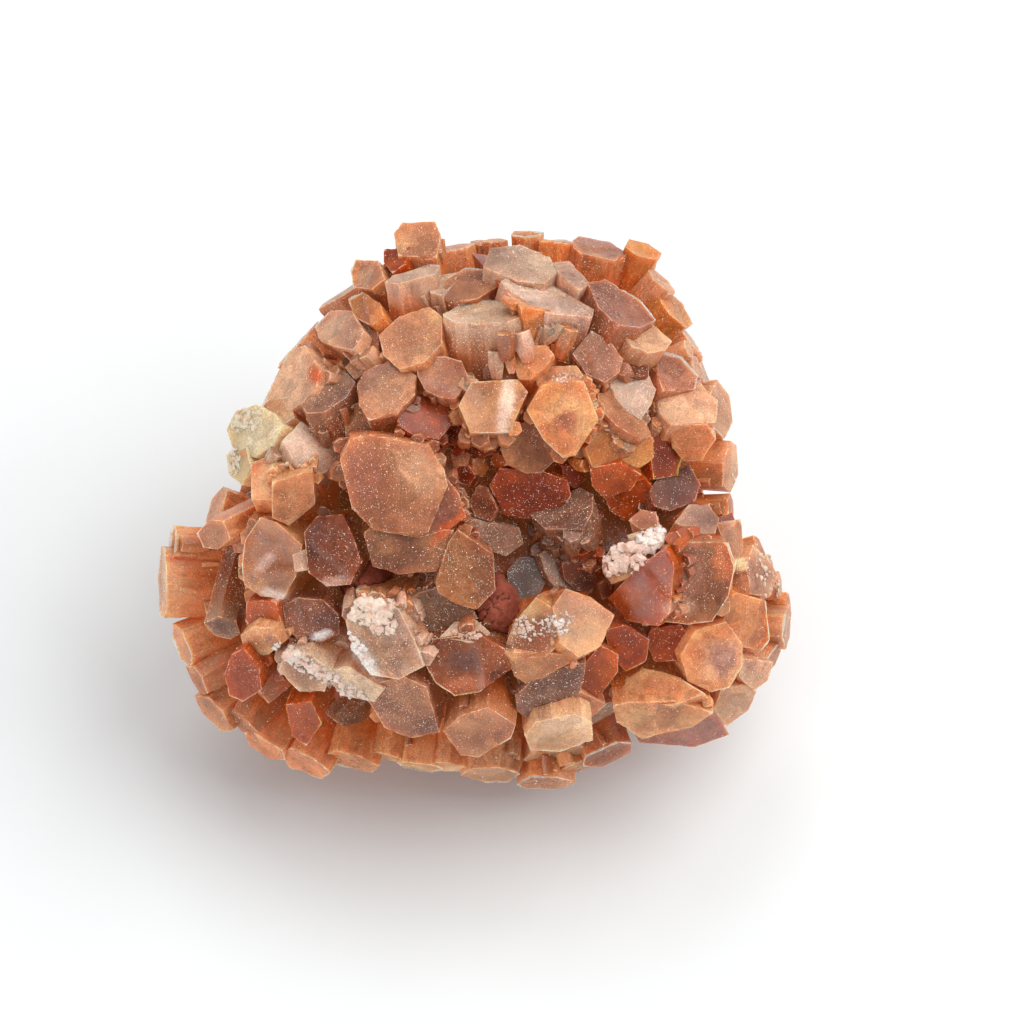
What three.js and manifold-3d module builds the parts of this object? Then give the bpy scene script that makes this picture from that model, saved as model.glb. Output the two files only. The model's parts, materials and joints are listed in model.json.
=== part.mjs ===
// Aragonite sputnik cluster: orange-brown pseudo-hexagonal prisms that radiate from one centre and have
// grown together, with dried red clay lodged in two of the hollows between them. Millimetres, +Z up.
//
// The crystals are laid out in a face frame: u to the right, v up the face, w straight out of the face.
// The face looks up and forward, FACE_RISE degrees above level, and the cluster rests on its crystal tips.
import * as THREE from "three";
import { mergeVertices } from "three/addons/utils/BufferGeometryUtils.js";
import Module from "manifold-3d";

const wasm = await Module();
wasm.setup();

// Driving dimensions, in millimetres and degrees.
const FACE_RISE = 55;
const FACE_CENTRE = { x: 3.8, y: 0.5, z: 22.5 }; // where the face frame's origin lies in the part
const HEART = { u: -3.6, v: 0.5, w: -1 }; // the point that the crystals radiate from
// Half size of the cluster across its face, every 15 degrees anticlockwise from the right.
const OUTLINE = [
  25.9, 26, 26.2, 28.2, 30, 28, 26.6, 28, 25.8, 24.4, 24.6, 25.6,
  27.4, 32.4, 33.4, 32.3, 29.4, 27.2, 27.2, 28.5, 28.4, 30.6, 33.6, 31.8,
];
const DOME = { spread: 1.09, depth: 20 }; // form that the front caps follow, against the outline
const CORE = { spread: 0.77, depth: 16.5, backDepth: 14.5 }; // intergrown mass
const HOLLOW = { u: 2.5, v: -1.5, reach: 8, depth: 4.5 }; // the dip in the middle of the face
const SHELL = { spread: [0.83, 0.93], depth: 21 }; // reach of the hidden crystals' tips
const ROOT_TAPER = 1; // a crystal's root against its cap
const FRONT_LENGTH = 15;
const SIDE_LENGTH = 17;
const BACK_LENGTH = 15;
const BACK_COUNT = 96; // directions spread over the whole ball, of which the hidden ones are grown
const HIDDEN_FROM = 0.45; // how far out of the face a direction may point and still be hidden
const FAR_FROM = -0.3; // directions that point back further than this carry the wide crystals of the far side
const RIM_RADIUS = [1.8, 3.2];
const FAR_RADIUS = [3.2, 4.8];
const HIDDEN_STRETCH = [0.9, 1.2];
const AXIS_MISS = 4; // most by which a hidden crystal's axis misses the heart, each way
const CORNER_TURN = 9; // most by which a prism's corner is out of place round its axis
const CORNER_REACH = [0.88, 1.1];
const CLEAR_OF_GROUND = 0.9; // height that the other crystals' tips keep above the ground
const FOOT_DEPTH = 1; // how far the resting tips grow below the ground before it levels them
const REST_HALF = 60; // half side of the block that levels the resting tips
const CLAY_GAP = 0.35; // clearance between the clay and the crystals
const WELD = 0.1; // edges shorter than this are closed up
const SAME_POINT = 1e-5;

// Crystals of the face whose end cap is seen: tone, heading and lean of the axis, how far the cap stands
// proud of the dome, then the cap's outline on the face as u,v pairs.
const CAPPED = `
peach 100 50 0.5 : -11.9,28 -11,29.2 -7.7,29.2 -7.1,27.8 -7.5,25.4 -11.4,25.6
rust 130 50 0 : -12.9,26.4 -10.2,26.6 -10.6,24.8 -12,23.8 -12.9,25
peach 140 58 0 : -16.3,24.2 -15.8,25.5 -13.4,25.2 -12.7,23.3 -14,22.2 -16,22.6
pearl 100 68 1.2 : -12.7,22.9 -12,23.6 -8.2,24.8 -7.2,24.7 -7.6,23.9 -11.3,22.7
pearl 100 62 0 : -8.2,22 -7.2,23.7 -5.2,24 -5.7,22.9 -6.9,21.6
mauve 92 50 0.5 : -6.9,21.4 -6.6,23.2 -4.7,24.5 -1.2,24.2 -1.2,22.7 -3.4,21.2 -5.7,20.8
mauve 85 58 1 : -2.9,24.4 -2.2,26.4 0.8,26.8 3.8,25.6 4.5,24 3.3,22.8 0.6,22.9
pearl 72 64 2.2 : -1.1,23 0.3,23.6 3.8,22.9 8.2,20.1 8,19.3 3.8,19.6 1.8,20.4
pearl 70 62 0.5 : 4.1,25 5.8,25.1 7.9,22.8 6.8,22.1 4.8,23.5
mauve 62 60 1.5 : 7.5,22.9 9.3,23.3 12.8,21.3 14.4,19.2 12.8,18.4 10.4,18.6 8.6,20.4
blush 52 52 1.8 : 10.7,19 12.3,19.5 14.3,18.6 16,17 15.3,16.1 13.6,15.8 12,16.6
pearl 95 64 2.4 : -6.9,19.7 -5.4,20.6 -3.2,21.2 -0.2,21 1.3,19.4 -0.7,18.7 -5.7,18.9
rust 310 30 1.6 : 0.8,20.2 3.9,19.9 5.6,15.8 5.8,14.6 4.4,15 1.4,17.2
peach 118 38 0.8 : -13.3,17.6 -11.2,19.5 -8.2,20.5 -6.9,19.4 -7,16.7 -8.7,14.9 -11.2,14.2 -12.8,15.6
rose 110 20 0.6 : -9.4,15.2 -6.7,15.5 -5,15 -4.3,13.4 -5.6,11.1 -7,11.3 -8.6,12 -9.4,13.5
blush 80 14 1.2 : -5.3,10.6 -4,12.9 0.6,13.2 1.6,11.9 -0.2,7.9 -4.1,7.8
apricot 100 20 1.4 : 0,15.3 0.8,16.4 3.3,16.7 4.2,15.6 3.3,14.2 1.8,13.1 0.6,13.2
apricot 90 35 1.2 : 1.3,17.6 1.9,18.3 2.9,18.2 3.4,17.2 2.4,16.6 1.4,16.9
cream 100 30 1.6 : -2.5,16.4 -0.6,16.8 0,16.1 -0.3,15 -2.3,15
rose 200 15 0 : -3,13.9 -2.5,14.8 -1.4,14.8 -1,13.8 -1.5,13 -2.6,13
apricot 268 10 2 : 1.4,10 2.8,12.4 4.4,13 7.1,12.9 8.6,9.1 6.3,5.5 5,5.3 3.1,7.1
peach 90 35 0.8 : 2.4,13 3.2,14.5 6.4,14.6 7.4,13.2 6.6,11.6 3,11.6
rose 70 24 1.2 : 6,15.8 7.9,18.1 9.8,16.9 11.1,15.2 10.7,13.9 9.2,12.8 7.4,13.7
smoke 55 42 0.2 : 10,17 11.3,17.6 13.7,15.4 13.6,13.5 11.3,13.4 10.3,15
pearl 45 28 0.4 : 9.5,12.6 10.6,14 13.6,13.7 14.4,12.2 13.9,10.7 12.8,9.1 10.8,10.2
rose 45 48 0.8 : 8.4,12 10,12.3 12.8,9.6 14.1,7.8 12.8,7.1 10.3,8.6 8.8,10.2
amber 335 24 0 : 7.3,6.2 8.6,8.2 10.2,9 14,7.4 14.2,5.4 12.8,4.3 8,4.4
mauve 270 15 -2 : -1.2,6.2 -0.5,8.3 1.8,9.1 3.4,7.6 4.4,5.2 2.9,3.8 1.3,3.8 -0.5,4.6
rust 220 25 -3.6 : -5.3,9 -3.6,8.6 -1.2,7.4 -1.6,5.9 -3.2,5.2 -5,6.2
rust 275 22 -4 : -2.3,2.6 -1.2,4.3 2.8,4.1 5.5,3.1 5.9,1.6 4.8,0 2.8,-0.9 -0.8,-0.4
smoke 200 20 -4.8 : -4.3,1.1 -3.4,2.7 -2.3,2.4 -1.5,0.2 -2.2,-1 -3.8,-0.5
smoke 310 20 -5.5 : -5.3,-1.7 -3.8,-0.7 0.8,-1.6 1.2,-3.2 -0.6,-4.5 -3,-3.6
smoke 112 34 -3.4 : 1.6,-0.1 4.2,1.3 6.7,2.5 8.1,1.8 8,0 7,-1.7 3.3,-1.7
mauve 100 25 -5.6 : 3,-2.4 7.1,-2 6.7,-3.5 4.3,-3.8
coal 60 14 -6.2 : -0.5,-5.8 0.7,-4.5 2.4,-4.3 3.5,-5.4 3.4,-7 2.3,-9 0.8,-10.1 -0.5,-8.8
smoke 20 22 -6 : 2.7,-4.2 4.1,-3.2 5.2,-4.6 6.3,-7.8 4.6,-8 3.4,-6.4
coal 340 22 -5.6 : 4.9,-4.9 7.7,-5 8.6,-6.8 7.9,-8.1 6.3,-7.8 5.2,-6.6
mauve 350 20 -5 : 8.5,-7.2 9.2,-6.8 10,-7.4 9.9,-8.4 9,-8.8
rust 160 30 -3.4 : -6.9,8.4 -5.6,8.9 -4.9,8 -5.2,6.7 -6.5,6.7
rose 130 26 -4 : -6.3,6.5 -5,6.7 -4.2,5.8 -4.6,4.6 -5.9,4.5
rust 230 30 -4.4 : -5.6,4.4 -4.4,4.7 -3.6,3.7 -4.2,2.6 -5.4,2.8
amber 350 34 -4.6 : -3.9,5.3 -2.7,5.4 -2.2,4.4 -2.9,3.4 -3.9,3.9
rose 200 40 -3.4 : -1.9,5.9 -0.6,5.6 -0.5,4.6 -1.5,4.2 -2.2,4.9
rust 330 28 -4.2 : 4.9,4.6 6.6,4.6 7.4,3.2 6.3,2.2 5.2,3
rust 20 30 -4.6 : 6.9,0.6 8.6,1.2 9.2,-0.4 8.2,-1.4 7,-0.8
rose 100 30 -5 : 5.9,-2.6 7.9,-2.3 8.4,-3.6 7,-4.4 5.8,-3.8
cream 140 60 0.6 : -19.8,18.6 -18.2,20.3 -16,20.1 -14.9,18.2 -15.7,16.1 -17.7,16.5 -19.3,17.2
amber 130 56 0.4 : -16.5,21.4 -15,22.1 -13.1,20.8 -12.7,19.3 -14,18.6 -15.8,19.5
rose 130 42 0.4 : -17.1,16.1 -14.7,18.8 -13.3,17.9 -13.3,16.2 -14.4,15.1 -15.7,14.6
mauve 130 36 0 : -16.8,14.5 -15,16 -13.6,16.1 -14.2,14.1 -15.7,13.2
cream 150 56 0.8 : -24.7,11.6 -22.3,16.2 -20.7,16.7 -19.1,14.3 -19.6,11.8 -22.2,10.1 -24.2,10.6
pearl 112 52 1.4 : -21,10.7 -19.4,12.8 -16.7,14.3 -15.6,13 -16.4,11.5 -18.6,9.9 -20.4,9.8
peach 108 28 1.4 : -15.4,12.8 -14.4,14.2 -12,15.1 -9.4,13.5 -9.6,11.6 -11.3,9.7 -14.2,9 -15.2,10.6
rust 60 28 -0.6 : -9.8,11.8 -7.2,11.9 -5.4,10.8 -5.7,9 -7.2,7.1 -9.2,7.3 -11.3,8.5 -11.4,10
mauve 150 20 -0.6 : -16.9,10.2 -15,11 -13.6,8.8 -14.6,7.4 -16.5,7
ivory 160 52 1.2 : -28.7,8.2 -27.7,10.1 -25.6,10.8 -23.6,9.8 -22.8,8.6 -23.7,6.6 -25.7,5.4 -28,6.4
ivory 140 48 1 : -24.5,11.2 -22.4,11.5 -21.7,9.5 -23.2,8.5 -24.5,9.2
ivory 176 60 0.4 : -28.7,5.8 -26.6,6.5 -26,4.4 -27,2.6 -28.4,3.8
pearl 70 44 0.6 : -22.9,7 -21,9.1 -16.8,6.5 -17.4,4.6 -18.8,3.8 -21.2,4.6
apricot 120 34 1.4 : -26,4.9 -23.7,5.8 -21.2,7.3 -19.1,5.6 -19.5,3.2 -23.4,1.2 -25.9,1.2
apricot 262 20 2.6 : -23.8,2.9 -19.7,4.2 -19.5,0.7 -22.1,-1.5 -23.8,-0.6
peach 205 56 1.6 : -31.6,-2.2 -30.2,-0.7 -28.6,-0.9 -28.1,-2.8 -29.4,-3.8 -30.9,-3.6
mauve 200 24 0.8 : -26.9,-5.2 -26.6,-2.8 -25,-0.5 -23.4,-1 -20.8,-3.3 -21.4,-6.4 -22.7,-8.7 -25,-8.4 -26.7,-7.2
mauve 200 12 1.2 : -20.6,-2 -19.4,-0.4 -16.7,-0.2 -15.6,-2.6 -14.9,-4.9 -16,-7.2 -18.4,-7.4 -20.2,-6
peach 190 20 0.9 : -21.8,-4.2 -20.4,-3.6 -20.2,-5.8 -21.6,-6
amber 222 44 0 : -26.4,-8.8 -23.4,-8.8 -22.9,-10.9 -25,-12.2 -26.6,-10.9
peach 230 48 0.6 : -27.1,-12.3 -25.7,-11.3 -23.7,-11.6 -22.9,-13.2 -24.2,-14.2 -26.4,-14.6
mauve 240 25 -0.2 : -22.8,-9.4 -21.2,-8.5 -18.7,-8.7 -17.1,-10.2 -17.1,-12.2 -19,-13 -21.2,-12.8 -22.5,-11.4
mauve 240 32 -0.6 : -22.3,-12.6 -19.3,-12.6 -19.5,-14.4 -20.9,-14.9
rose 232 44 0.8 : -28.8,-16.3 -28,-14.2 -26.7,-13.5 -25.1,-15.6 -25,-17.8 -26.9,-19 -28.3,-18.4
chalk 248 44 0.4 : -23.3,-15.7 -22.7,-14.2 -20.2,-14.1 -17.8,-15.7 -18.6,-17.9 -21.2,-18
chalk 236 46 0.8 : -18.9,-15.9 -16.2,-15.3 -12.6,-17.6 -13.7,-18.9 -16.9,-18.3
rust 248 52 -0.4 : -22.6,-19.2 -20,-18.9 -19,-21.2 -20.6,-23.5 -22.1,-22.4
rose 285 8 2.2 : -17,5.2 -15.9,7.3 -13.7,7.6 -8.2,6.6 -6.7,4.2 -6.3,2.6 -8.2,-2 -9.4,-2.4 -13.9,-1.6 -15.8,0.3
mauve 300 12 0.9 : -14.2,-0.8 -8,3.4 -6.6,3.5 -5.2,1.8 -4.5,-0.5 -6.2,-1.8 -9.2,-2.6 -13.7,-1.8
mauve 268 16 0 : -14.7,-2.2 -13.7,-1.2 -5.7,-1.8 -6.3,-4.4 -7.3,-5.9 -11.2,-6.2 -13.8,-5.4
mauve 300 8 0.4 : -7.6,-7 -6.3,-3 -5.4,-1.7 -1.8,-4.2 -1.6,-7.8 -3.5,-9.7 -5.7,-9.1 -7.3,-8
smoke 280 20 -0.8 : -10.8,-9.2 -9.2,-8 -7.2,-7.5 -4.7,-8.9 -3.3,-10.6 -6.2,-11.6 -8.4,-11.9 -10.1,-10.6
chalk 228 24 2.4 : -16.5,-10.8 -15.2,-8.7 -11.2,-9.6 -9.7,-12.6 -8.7,-15.3 -11.2,-16.6 -14,-16.2 -16,-13.4
mauve 255 42 1.2 : -13.6,-17 -10.7,-16.3 -8.4,-17.4 -7.2,-22 -10.2,-22.6 -12.7,-21.5 -14.3,-18.8
mauve 264 20 1.6 : -8.8,-14.8 -7.8,-12.6 -3.2,-12.1 -0.7,-13.5 -0.1,-15.6 -3.2,-17.9 -5.7,-18.3 -7.6,-17
chalk 90 30 0.4 : -7.2,-12.4 -5.7,-10.8 -3.7,-10.5 -2.1,-11.9 -3.2,-13
peach 30 24 2.4 : 4,-9.4 5.3,-7.5 7.8,-8.3 10.2,-10.2 8.8,-13.3 6.6,-14.4 4.7,-12.9
crust 205 20 1.8 : -0.8,-13.6 0.2,-10.9 2.3,-8.4 3.9,-9.4 5,-12.8 3.3,-14.4 0.8,-14.5
peach 262 42 1.6 : -0.8,-13.8 3.3,-13.9 6.8,-14.3 4,-16 1.8,-17.3 0.2,-16.3
smoke 280 34 0.8 : 1.8,-16.9 4.8,-15.4 7.4,-15 7.1,-16.9 6,-20.1 2.3,-21.2 0.5,-19.8 0.3,-18.2
rust 292 34 0.2 : 7,-15.4 8.8,-13.2 10.6,-14.2 10.6,-15.9 8.3,-19 6.4,-17.9
rose 264 50 1.8 : -6.9,-21.8 -5.2,-20.2 -2.4,-19.4 0.4,-21.2 -0.1,-22.6 -3.4,-24.5 -5.2,-24.3
cream 276 56 1.6 : 1.2,-22.2 2.3,-20.9 6.3,-20.1 7.9,-20.9 8.1,-22.8 4.8,-24 1.8,-23.8
cream 284 42 0.4 : 5.9,-19.9 6.7,-17.7 9.4,-19.2 7.9,-20.7
rose 310 14 2.4 : 14.2,-10.8 13.6,-7 15.2,-3.6 17.4,-2.9 21.3,-3 22.1,-5.6 21.5,-8.4 19.9,-10.9 17.4,-11.2
amber 205 30 1.6 : 9.5,-8.6 12.2,-5.6 15.2,-3.4 16,-5.5 15.6,-10 14.4,-11.4 11.4,-10.8
apricot 8 30 1.2 : 19.9,-3.1 21.6,-3 22.3,-5.2 21.9,-7.6 20.6,-8.6
cream 180 24 -0.6 : 8.9,-4.9 9.8,-3.5 12.3,-3.2 12.9,-4.8 11.3,-6.7 9.8,-7.2 8.9,-6
white 120 24 -0.2 : 11.3,-2.3 13.2,-1.5 14.8,-1.2 15.4,-2.5 13.8,-3.9 12.6,-3.7
blush 110 30 -0.4 : 11.5,-0.8 12.8,0.3 14.3,0.1 14.6,-1.3 12.8,-1.8
pearl 60 42 0.6 : 16.2,-0.9 17.6,0.8 19.6,0.8 20.7,-0.6 20.3,-2.1 18.3,-2.1
smoke 40 38 -1.4 : 13.7,2.2 14.8,3.8 17.8,4.8 18.9,2.7 18.3,1.1 15.8,0.1 14.2,0.6
rust 300 30 -2.6 : 9.2,1.6 11.3,2.8 13.3,3.3 14.4,2.1 13.3,0.1 11.3,-1 9.7,0.1
amber 280 30 -1.2 : 7.7,4.4 10.8,4.9 12.9,3.7 11.8,2.1 9.3,1.1 7.9,2.6
rust 0 40 -1.2 : 13.7,7.2 15.3,8.2 17,5.4 16.6,3.6 14.2,3.2
apricot 282 30 1 : 15.5,8.7 19.4,8.7 20.4,7.2 19,5.1 17.1,5 15.9,6.4
blush 60 44 1.4 : 14.4,11.2 15.3,12.5 18.8,12.9 20.6,11.2 20.4,8.9 15.8,8.6 14.7,9.9
rose 50 52 0.8 : 14.2,14.6 15.3,16.1 17,15.6 18.7,13.7 18.3,12.3 15,12
blush 10 46 0.6 : 20.6,-1 22.9,-0.7 23.3,-4.8 22.3,-6 21.3,-3.6
blush 15 58 0.8 : 23.5,-5 24.1,-3.2 25.8,-4.9 26.7,-6.3 25.8,-8.5 23.8,-8.2
amber 330 46 1.2 : 20.9,-8.9 22.4,-8 25.4,-8.9 25.9,-12.9 25,-13.9 22.8,-13.5 21.2,-11.5
apricot 312 28 1.8 : 16.7,-14.3 18.2,-11.7 21.3,-10.9 23,-13.2 23,-15.4 21.8,-17.5 19.8,-18 17.5,-16.9
rust 280 20 -0.4 : 13.2,-12.8 13.9,-11.5 16.8,-11.2 17.9,-12.8 16.8,-14.8 14.2,-15
rust 290 28 -0.4 : 9.2,-11.8 11.3,-11.2 13.7,-12.7 13.4,-14.9 11.3,-16 9.8,-14.3
apricot 120 20 1 : 10.5,-18.8 11.3,-16.4 12.8,-15.4 16.3,-16.2 19.2,-18 16,-19.2
peach 276 46 2.4 : 10,-19.3 11.5,-18.9 16.2,-18.8 20.1,-20 18,-21.5 13,-22.7 10.4,-21
peach 312 56 1.2 : 20.2,-19.8 20.9,-17.7 23.3,-17.2 24.6,-18 23.8,-19.9 21.5,-21.6
blush 332 56 1 : 22.7,-16.5 23,-14.6 26.2,-15 25.7,-16.9 24.3,-18
`;

// Crystals of the rim and the hollows seen from the side: tone, place of the tip (u v w), heading and lean,
// radius, stretch across the axis and turn about it.
const SIDE_ON = `
peach -6.2 26.6 3 100 80 2.2 1.3 10
rose -3.3 27.3 1 95 78 1.2 1.0 25
peach -1.7 27.4 2 92 76 1.2 1.0 0
peach 1.4 28.2 2 92 78 1.6 1.1 15
amber 4.2 27.4 3 88 80 1.6 1.2 40
peach 8.8 26.6 3 76 70 3.1 1.0 8
amber 13.2 26.5 2 70 66 2.0 1.1 20
blush 15 23.4 3 50 70 1.7 1.1 10
amber 16.4 20.6 3 40 66 2.5 1.1 30
blush 17.8 16.4 5 25 70 1.1 1.0 0
blush 18.6 14.7 4 15 68 1.2 1.1 15
blush 21.0 10.2 3 6 64 2.8 1.1 5
peach 22.0 4.4 2 355 70 2.7 1.1 20
peach 22.1 0.4 2 2 76 1.4 1.2 0
peach 25.0 -3.6 2 20 72 1.3 1.1 10
blush 26.2 -5.4 1 12 78 1.3 1.0 35
peach 27.1 -7.4 2 5 80 1.3 1.1 50
amber 27.9 -9.4 0 0 80 1.4 1.1 20
blush 27.9 -11.6 1 355 80 2.4 1.1 0
peach 26.2 -15.2 1 330 75 2.0 1.1 25
cream 4.5 -24.4 3 275 66 3.3 1.0 10
peach 3.4 -27.5 0 272 76 3.0 1.0 0
peach 6.8 -25.8 0 290 78 2.7 1.1 30
rose 9.8 -24.6 2 292 70 3.0 1.0 12
rose -2.2 -26.6 2 268 72 3.1 1.0 5
peach -6.4 -25.8 2 265 76 2.1 1.1 20
amber -9.4 -25.8 2 262 76 2.2 1.2 0
peach -12.6 -24.8 2 255 78 1.9 1.1 33
rose -16.2 -25.2 2 256 70 2.7 1.1 8
amber -21.2 -25.4 1 242 66 2.7 1.1 16
rose -25.1 -23.8 1 236 68 2.5 1.1 0
amber -27 -21.6 2 228 70 1.9 1.1 40
rose -30.2 -20.4 1 222 66 2.4 1.1 12
rust -31.8 -17 2 210 72 2.0 1.0 25
amber -33.4 -13.6 2 200 70 2.5 1.0 5
amber -35.3 -7.2 2 180 80 3.6 1.1 28
amber -34.4 -3.4 3 176 78 2.0 1.2 0
peach -29.8 0.6 3 158 66 2.2 1.1 20
cream -26.6 4 -2 170 86 3.2 1.1 40
blush -25.2 11 -2 155 86 3.6 1.1 0
peach -21.8 17 -2 138 86 3.4 1 25
rose -16.8 22.4 -1 122 84 3.2 1.1 10
peach 17.6 18.2 -2 38 84 3.2 1 0
rose 20.2 12.4 -3 20 84 3.4 1.1 30
smoke -28.8 -11.6 11.5 255 50 1.9 1 0
`;

// Crystals that carry the cluster: the place on the ground where each is levelled off (x y), and its radius.
const FEET = [
  [0, -9, 3.6],
  [11, -4, 3.4],
  [8, 9, 3.8],
  [-4, 10, 3.4],
  [-12, 3, 3.8],
  [-9, -7, 3.2],
  [0, 1, 3.6],
];

// Dried clay in the hollows: node name, middle (u v w) and half sizes across, up and out of the face.
const CLAY = [
  ["red_clay_middle", [-1.9, -10.4, 10.2], [3.4, 4.6, 7.4]],
  ["red_clay_left", [-14.4, -6.2, 9.6], [3.2, 5.6, 7.4]],
];

const rise = THREE.MathUtils.degToRad(FACE_RISE);
const faceToPart = new THREE.Matrix4()
  .makeBasis(
    new THREE.Vector3(1, 0, 0),
    new THREE.Vector3(0, Math.sin(rise), Math.cos(rise)),
    new THREE.Vector3(0, -Math.cos(rise), Math.sin(rise)),
  )
  .setPosition(FACE_CENTRE.x, FACE_CENTRE.y, FACE_CENTRE.z);
const partToFace = faceToPart.clone().invert();
const heart = new THREE.Vector3(HEART.u, HEART.v, HEART.w);

let seed = 48271;
// A repeatable random number from low to high.
function between(low, high) {
  seed = (seed * 1664525 + 1013904223) % 4294967296;
  return low + ((high - low) * seed) / 4294967296;
}

// The unit vector that leans away from the face's normal towards a heading on the face.
function axisTo(heading, lean) {
  const across = THREE.MathUtils.degToRad(heading);
  const out = THREE.MathUtils.degToRad(lean);
  return new THREE.Vector3(
    Math.sin(out) * Math.cos(across),
    Math.sin(out) * Math.sin(across),
    Math.cos(out),
  );
}

// Half size of the cluster in a direction across its face.
function outlineReach(across, up) {
  const turn = (Math.atan2(up, across) / (2 * Math.PI) + 1) * OUTLINE.length;
  const before = Math.floor(turn);
  return THREE.MathUtils.lerp(
    OUTLINE[before % OUTLINE.length],
    OUTLINE[(before + 1) % OUTLINE.length],
    turn - before,
  );
}

// Height of the dome that the front caps follow, above a point of the face.
function domeHeight(u, v) {
  const across = u - HEART.u;
  const up = v - HEART.v;
  const share = Math.hypot(across, up) / (DOME.spread * outlineReach(across, up));
  return DOME.depth * Math.sqrt(Math.max(0, 1 - share * share));
}

// A closed solid from a geometry's positions alone.
function solidOf(geometry) {
  geometry.deleteAttribute("normal");
  geometry.deleteAttribute("uv");
  const merged = mergeVertices(geometry, SAME_POINT);
  return new wasm.Manifold(
    new wasm.Mesh({
      numProp: 3,
      vertProperties: merged.attributes.position.array,
      triVerts: new Uint32Array(merged.index.array),
    }),
  );
}

// A closed solid between a root ring and a cap ring of equal count; flat is the cap's outline.
function loft([root, cap], flat) {
  const count = flat.length;
  const faces = THREE.ShapeUtils.triangulateShape([...flat], []).flatMap(([a, b, c]) => [
    ...[c, b, a],
    ...[count + a, count + b, count + c],
  ]);
  for (let i = 0; i < count; i++) {
    const j = (i + 1) % count;
    faces.push(i, j, count + j, i, count + j, count + i);
  }
  return new THREE.BufferGeometry().setFromPoints([...root, ...cap]).setIndex(faces);
}

// A crystal of the face frame: its cap's corners, drawn back along the axis to the root.
function crystal(corners, flat, axis, length, grow) {
  const middle = corners.reduce((sum, p) => sum.add(p), new THREE.Vector3()).divideScalar(corners.length);
  const ring = (share, forward) =>
    corners.map((corner) => {
      const arm = corner.clone().sub(middle);
      return arm
        .multiplyScalar(share + grow / arm.length())
        .add(middle)
        .addScaledVector(axis, forward);
    });
  return loft([ring(ROOT_TAPER, -length), ring(1, grow)], flat);
}

function cappedCrystal(row, grow = 0) {
  const [head, points] = row.split(" : ");
  const [, heading, lean, proud] = head.split(" ").map(Number);
  const axis = axisTo(heading, lean);
  const outline = points.split(" ").map((p) => new THREE.Vector2(...p.split(",").map(Number)));
  if (THREE.ShapeUtils.area(outline) < 0) outline.reverse();
  const at = outline.reduce((sum, p) => sum.add(p), new THREE.Vector2()).divideScalar(outline.length);
  const height = domeHeight(at.x, at.y) + proud;
  const corners = outline.map((p) => {
    const away = p.clone().sub(at);
    const fall = (axis.x * away.x + axis.y * away.y) / axis.z;
    return new THREE.Vector3(p.x, p.y, height - fall);
  });
  return crystal(corners, outline, axis, FRONT_LENGTH, grow);
}

// A six-sided crystal from the middle of its tip.
function prism(tip, axis, radius, stretch, turn, length) {
  const across = new THREE.Vector3(-axis.y, axis.x, 0).normalize();
  const other = new THREE.Vector3().crossVectors(axis, across);
  const flat = [];
  for (let side = 0; side < 6; side++) {
    const angle = THREE.MathUtils.degToRad(turn + 60 * side + between(-CORNER_TURN, CORNER_TURN));
    const reach = radius * between(...CORNER_REACH);
    flat.push(new THREE.Vector2(reach * stretch * Math.cos(angle), reach * Math.sin(angle)));
  }
  const corners = flat.map((p) =>
    tip.clone().addScaledVector(across, p.x).addScaledVector(other, p.y),
  );
  return crystal(corners, flat, axis, length, 0);
}

function sideCrystal(row) {
  const [, u, v, w, heading, lean, radius, stretch, turn] = row.split(" ").map(Number);
  const tip = new THREE.Vector3(u, v, w);
  return prism(tip, axisTo(heading, lean), radius, stretch, turn, SIDE_LENGTH);
}

// A tip drawn back towards the heart until it clears the ground.
function aboveGround(tip) {
  const [low, high] = [tip, heart].map((p) => p.clone().applyMatrix4(faceToPart).z);
  return low < CLEAR_OF_GROUND ? tip.lerp(heart, (CLEAR_OF_GROUND - low) / (high - low)) : tip;
}

// Crystals of the far side and under the rim, spread evenly and kept off the ground.
function backCrystals() {
  const made = [];
  for (let i = 0; i < BACK_COUNT; i++) {
    const out = 1 - (2 * i + 1) / BACK_COUNT;
    if (out > HIDDEN_FROM) continue;
    const turn = i * Math.PI * (3 - Math.sqrt(5));
    const round = Math.sqrt(1 - out * out);
    const away = new THREE.Vector3(round * Math.cos(turn), round * Math.sin(turn), out);
    const spread = between(...SHELL.spread);
    const reach = spread * outlineReach(away.x, away.y);
    const tip = away.clone().multiply(new THREE.Vector3(reach, reach, spread * SHELL.depth)).add(heart);
    const miss = Array.from("uvw", () => between(-AXIS_MISS, AXIS_MISS));
    const axis = tip.clone().sub(heart).add(new THREE.Vector3(...miss)).normalize();
    const radius = between(...(out > FAR_FROM ? RIM_RADIUS : FAR_RADIUS));
    const stretch = between(...HIDDEN_STRETCH);
    const twist = between(0, 60);
    made.push(prism(aboveGround(tip), axis, radius, stretch, twist, BACK_LENGTH));
  }
  return made;
}

// Crystals that the cluster stands on, a little longer than the ground allows and levelled off by it.
function footCrystals() {
  const centre = heart.clone().applyMatrix4(faceToPart);
  return FEET.map(([x, y, radius]) => {
    const tip = new THREE.Vector3(x, y, -FOOT_DEPTH).applyMatrix4(partToFace);
    const axis = tip.clone().sub(heart).normalize();
    return prism(tip, axis, radius, 1, between(0, 60), centre.z);
  });
}

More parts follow.
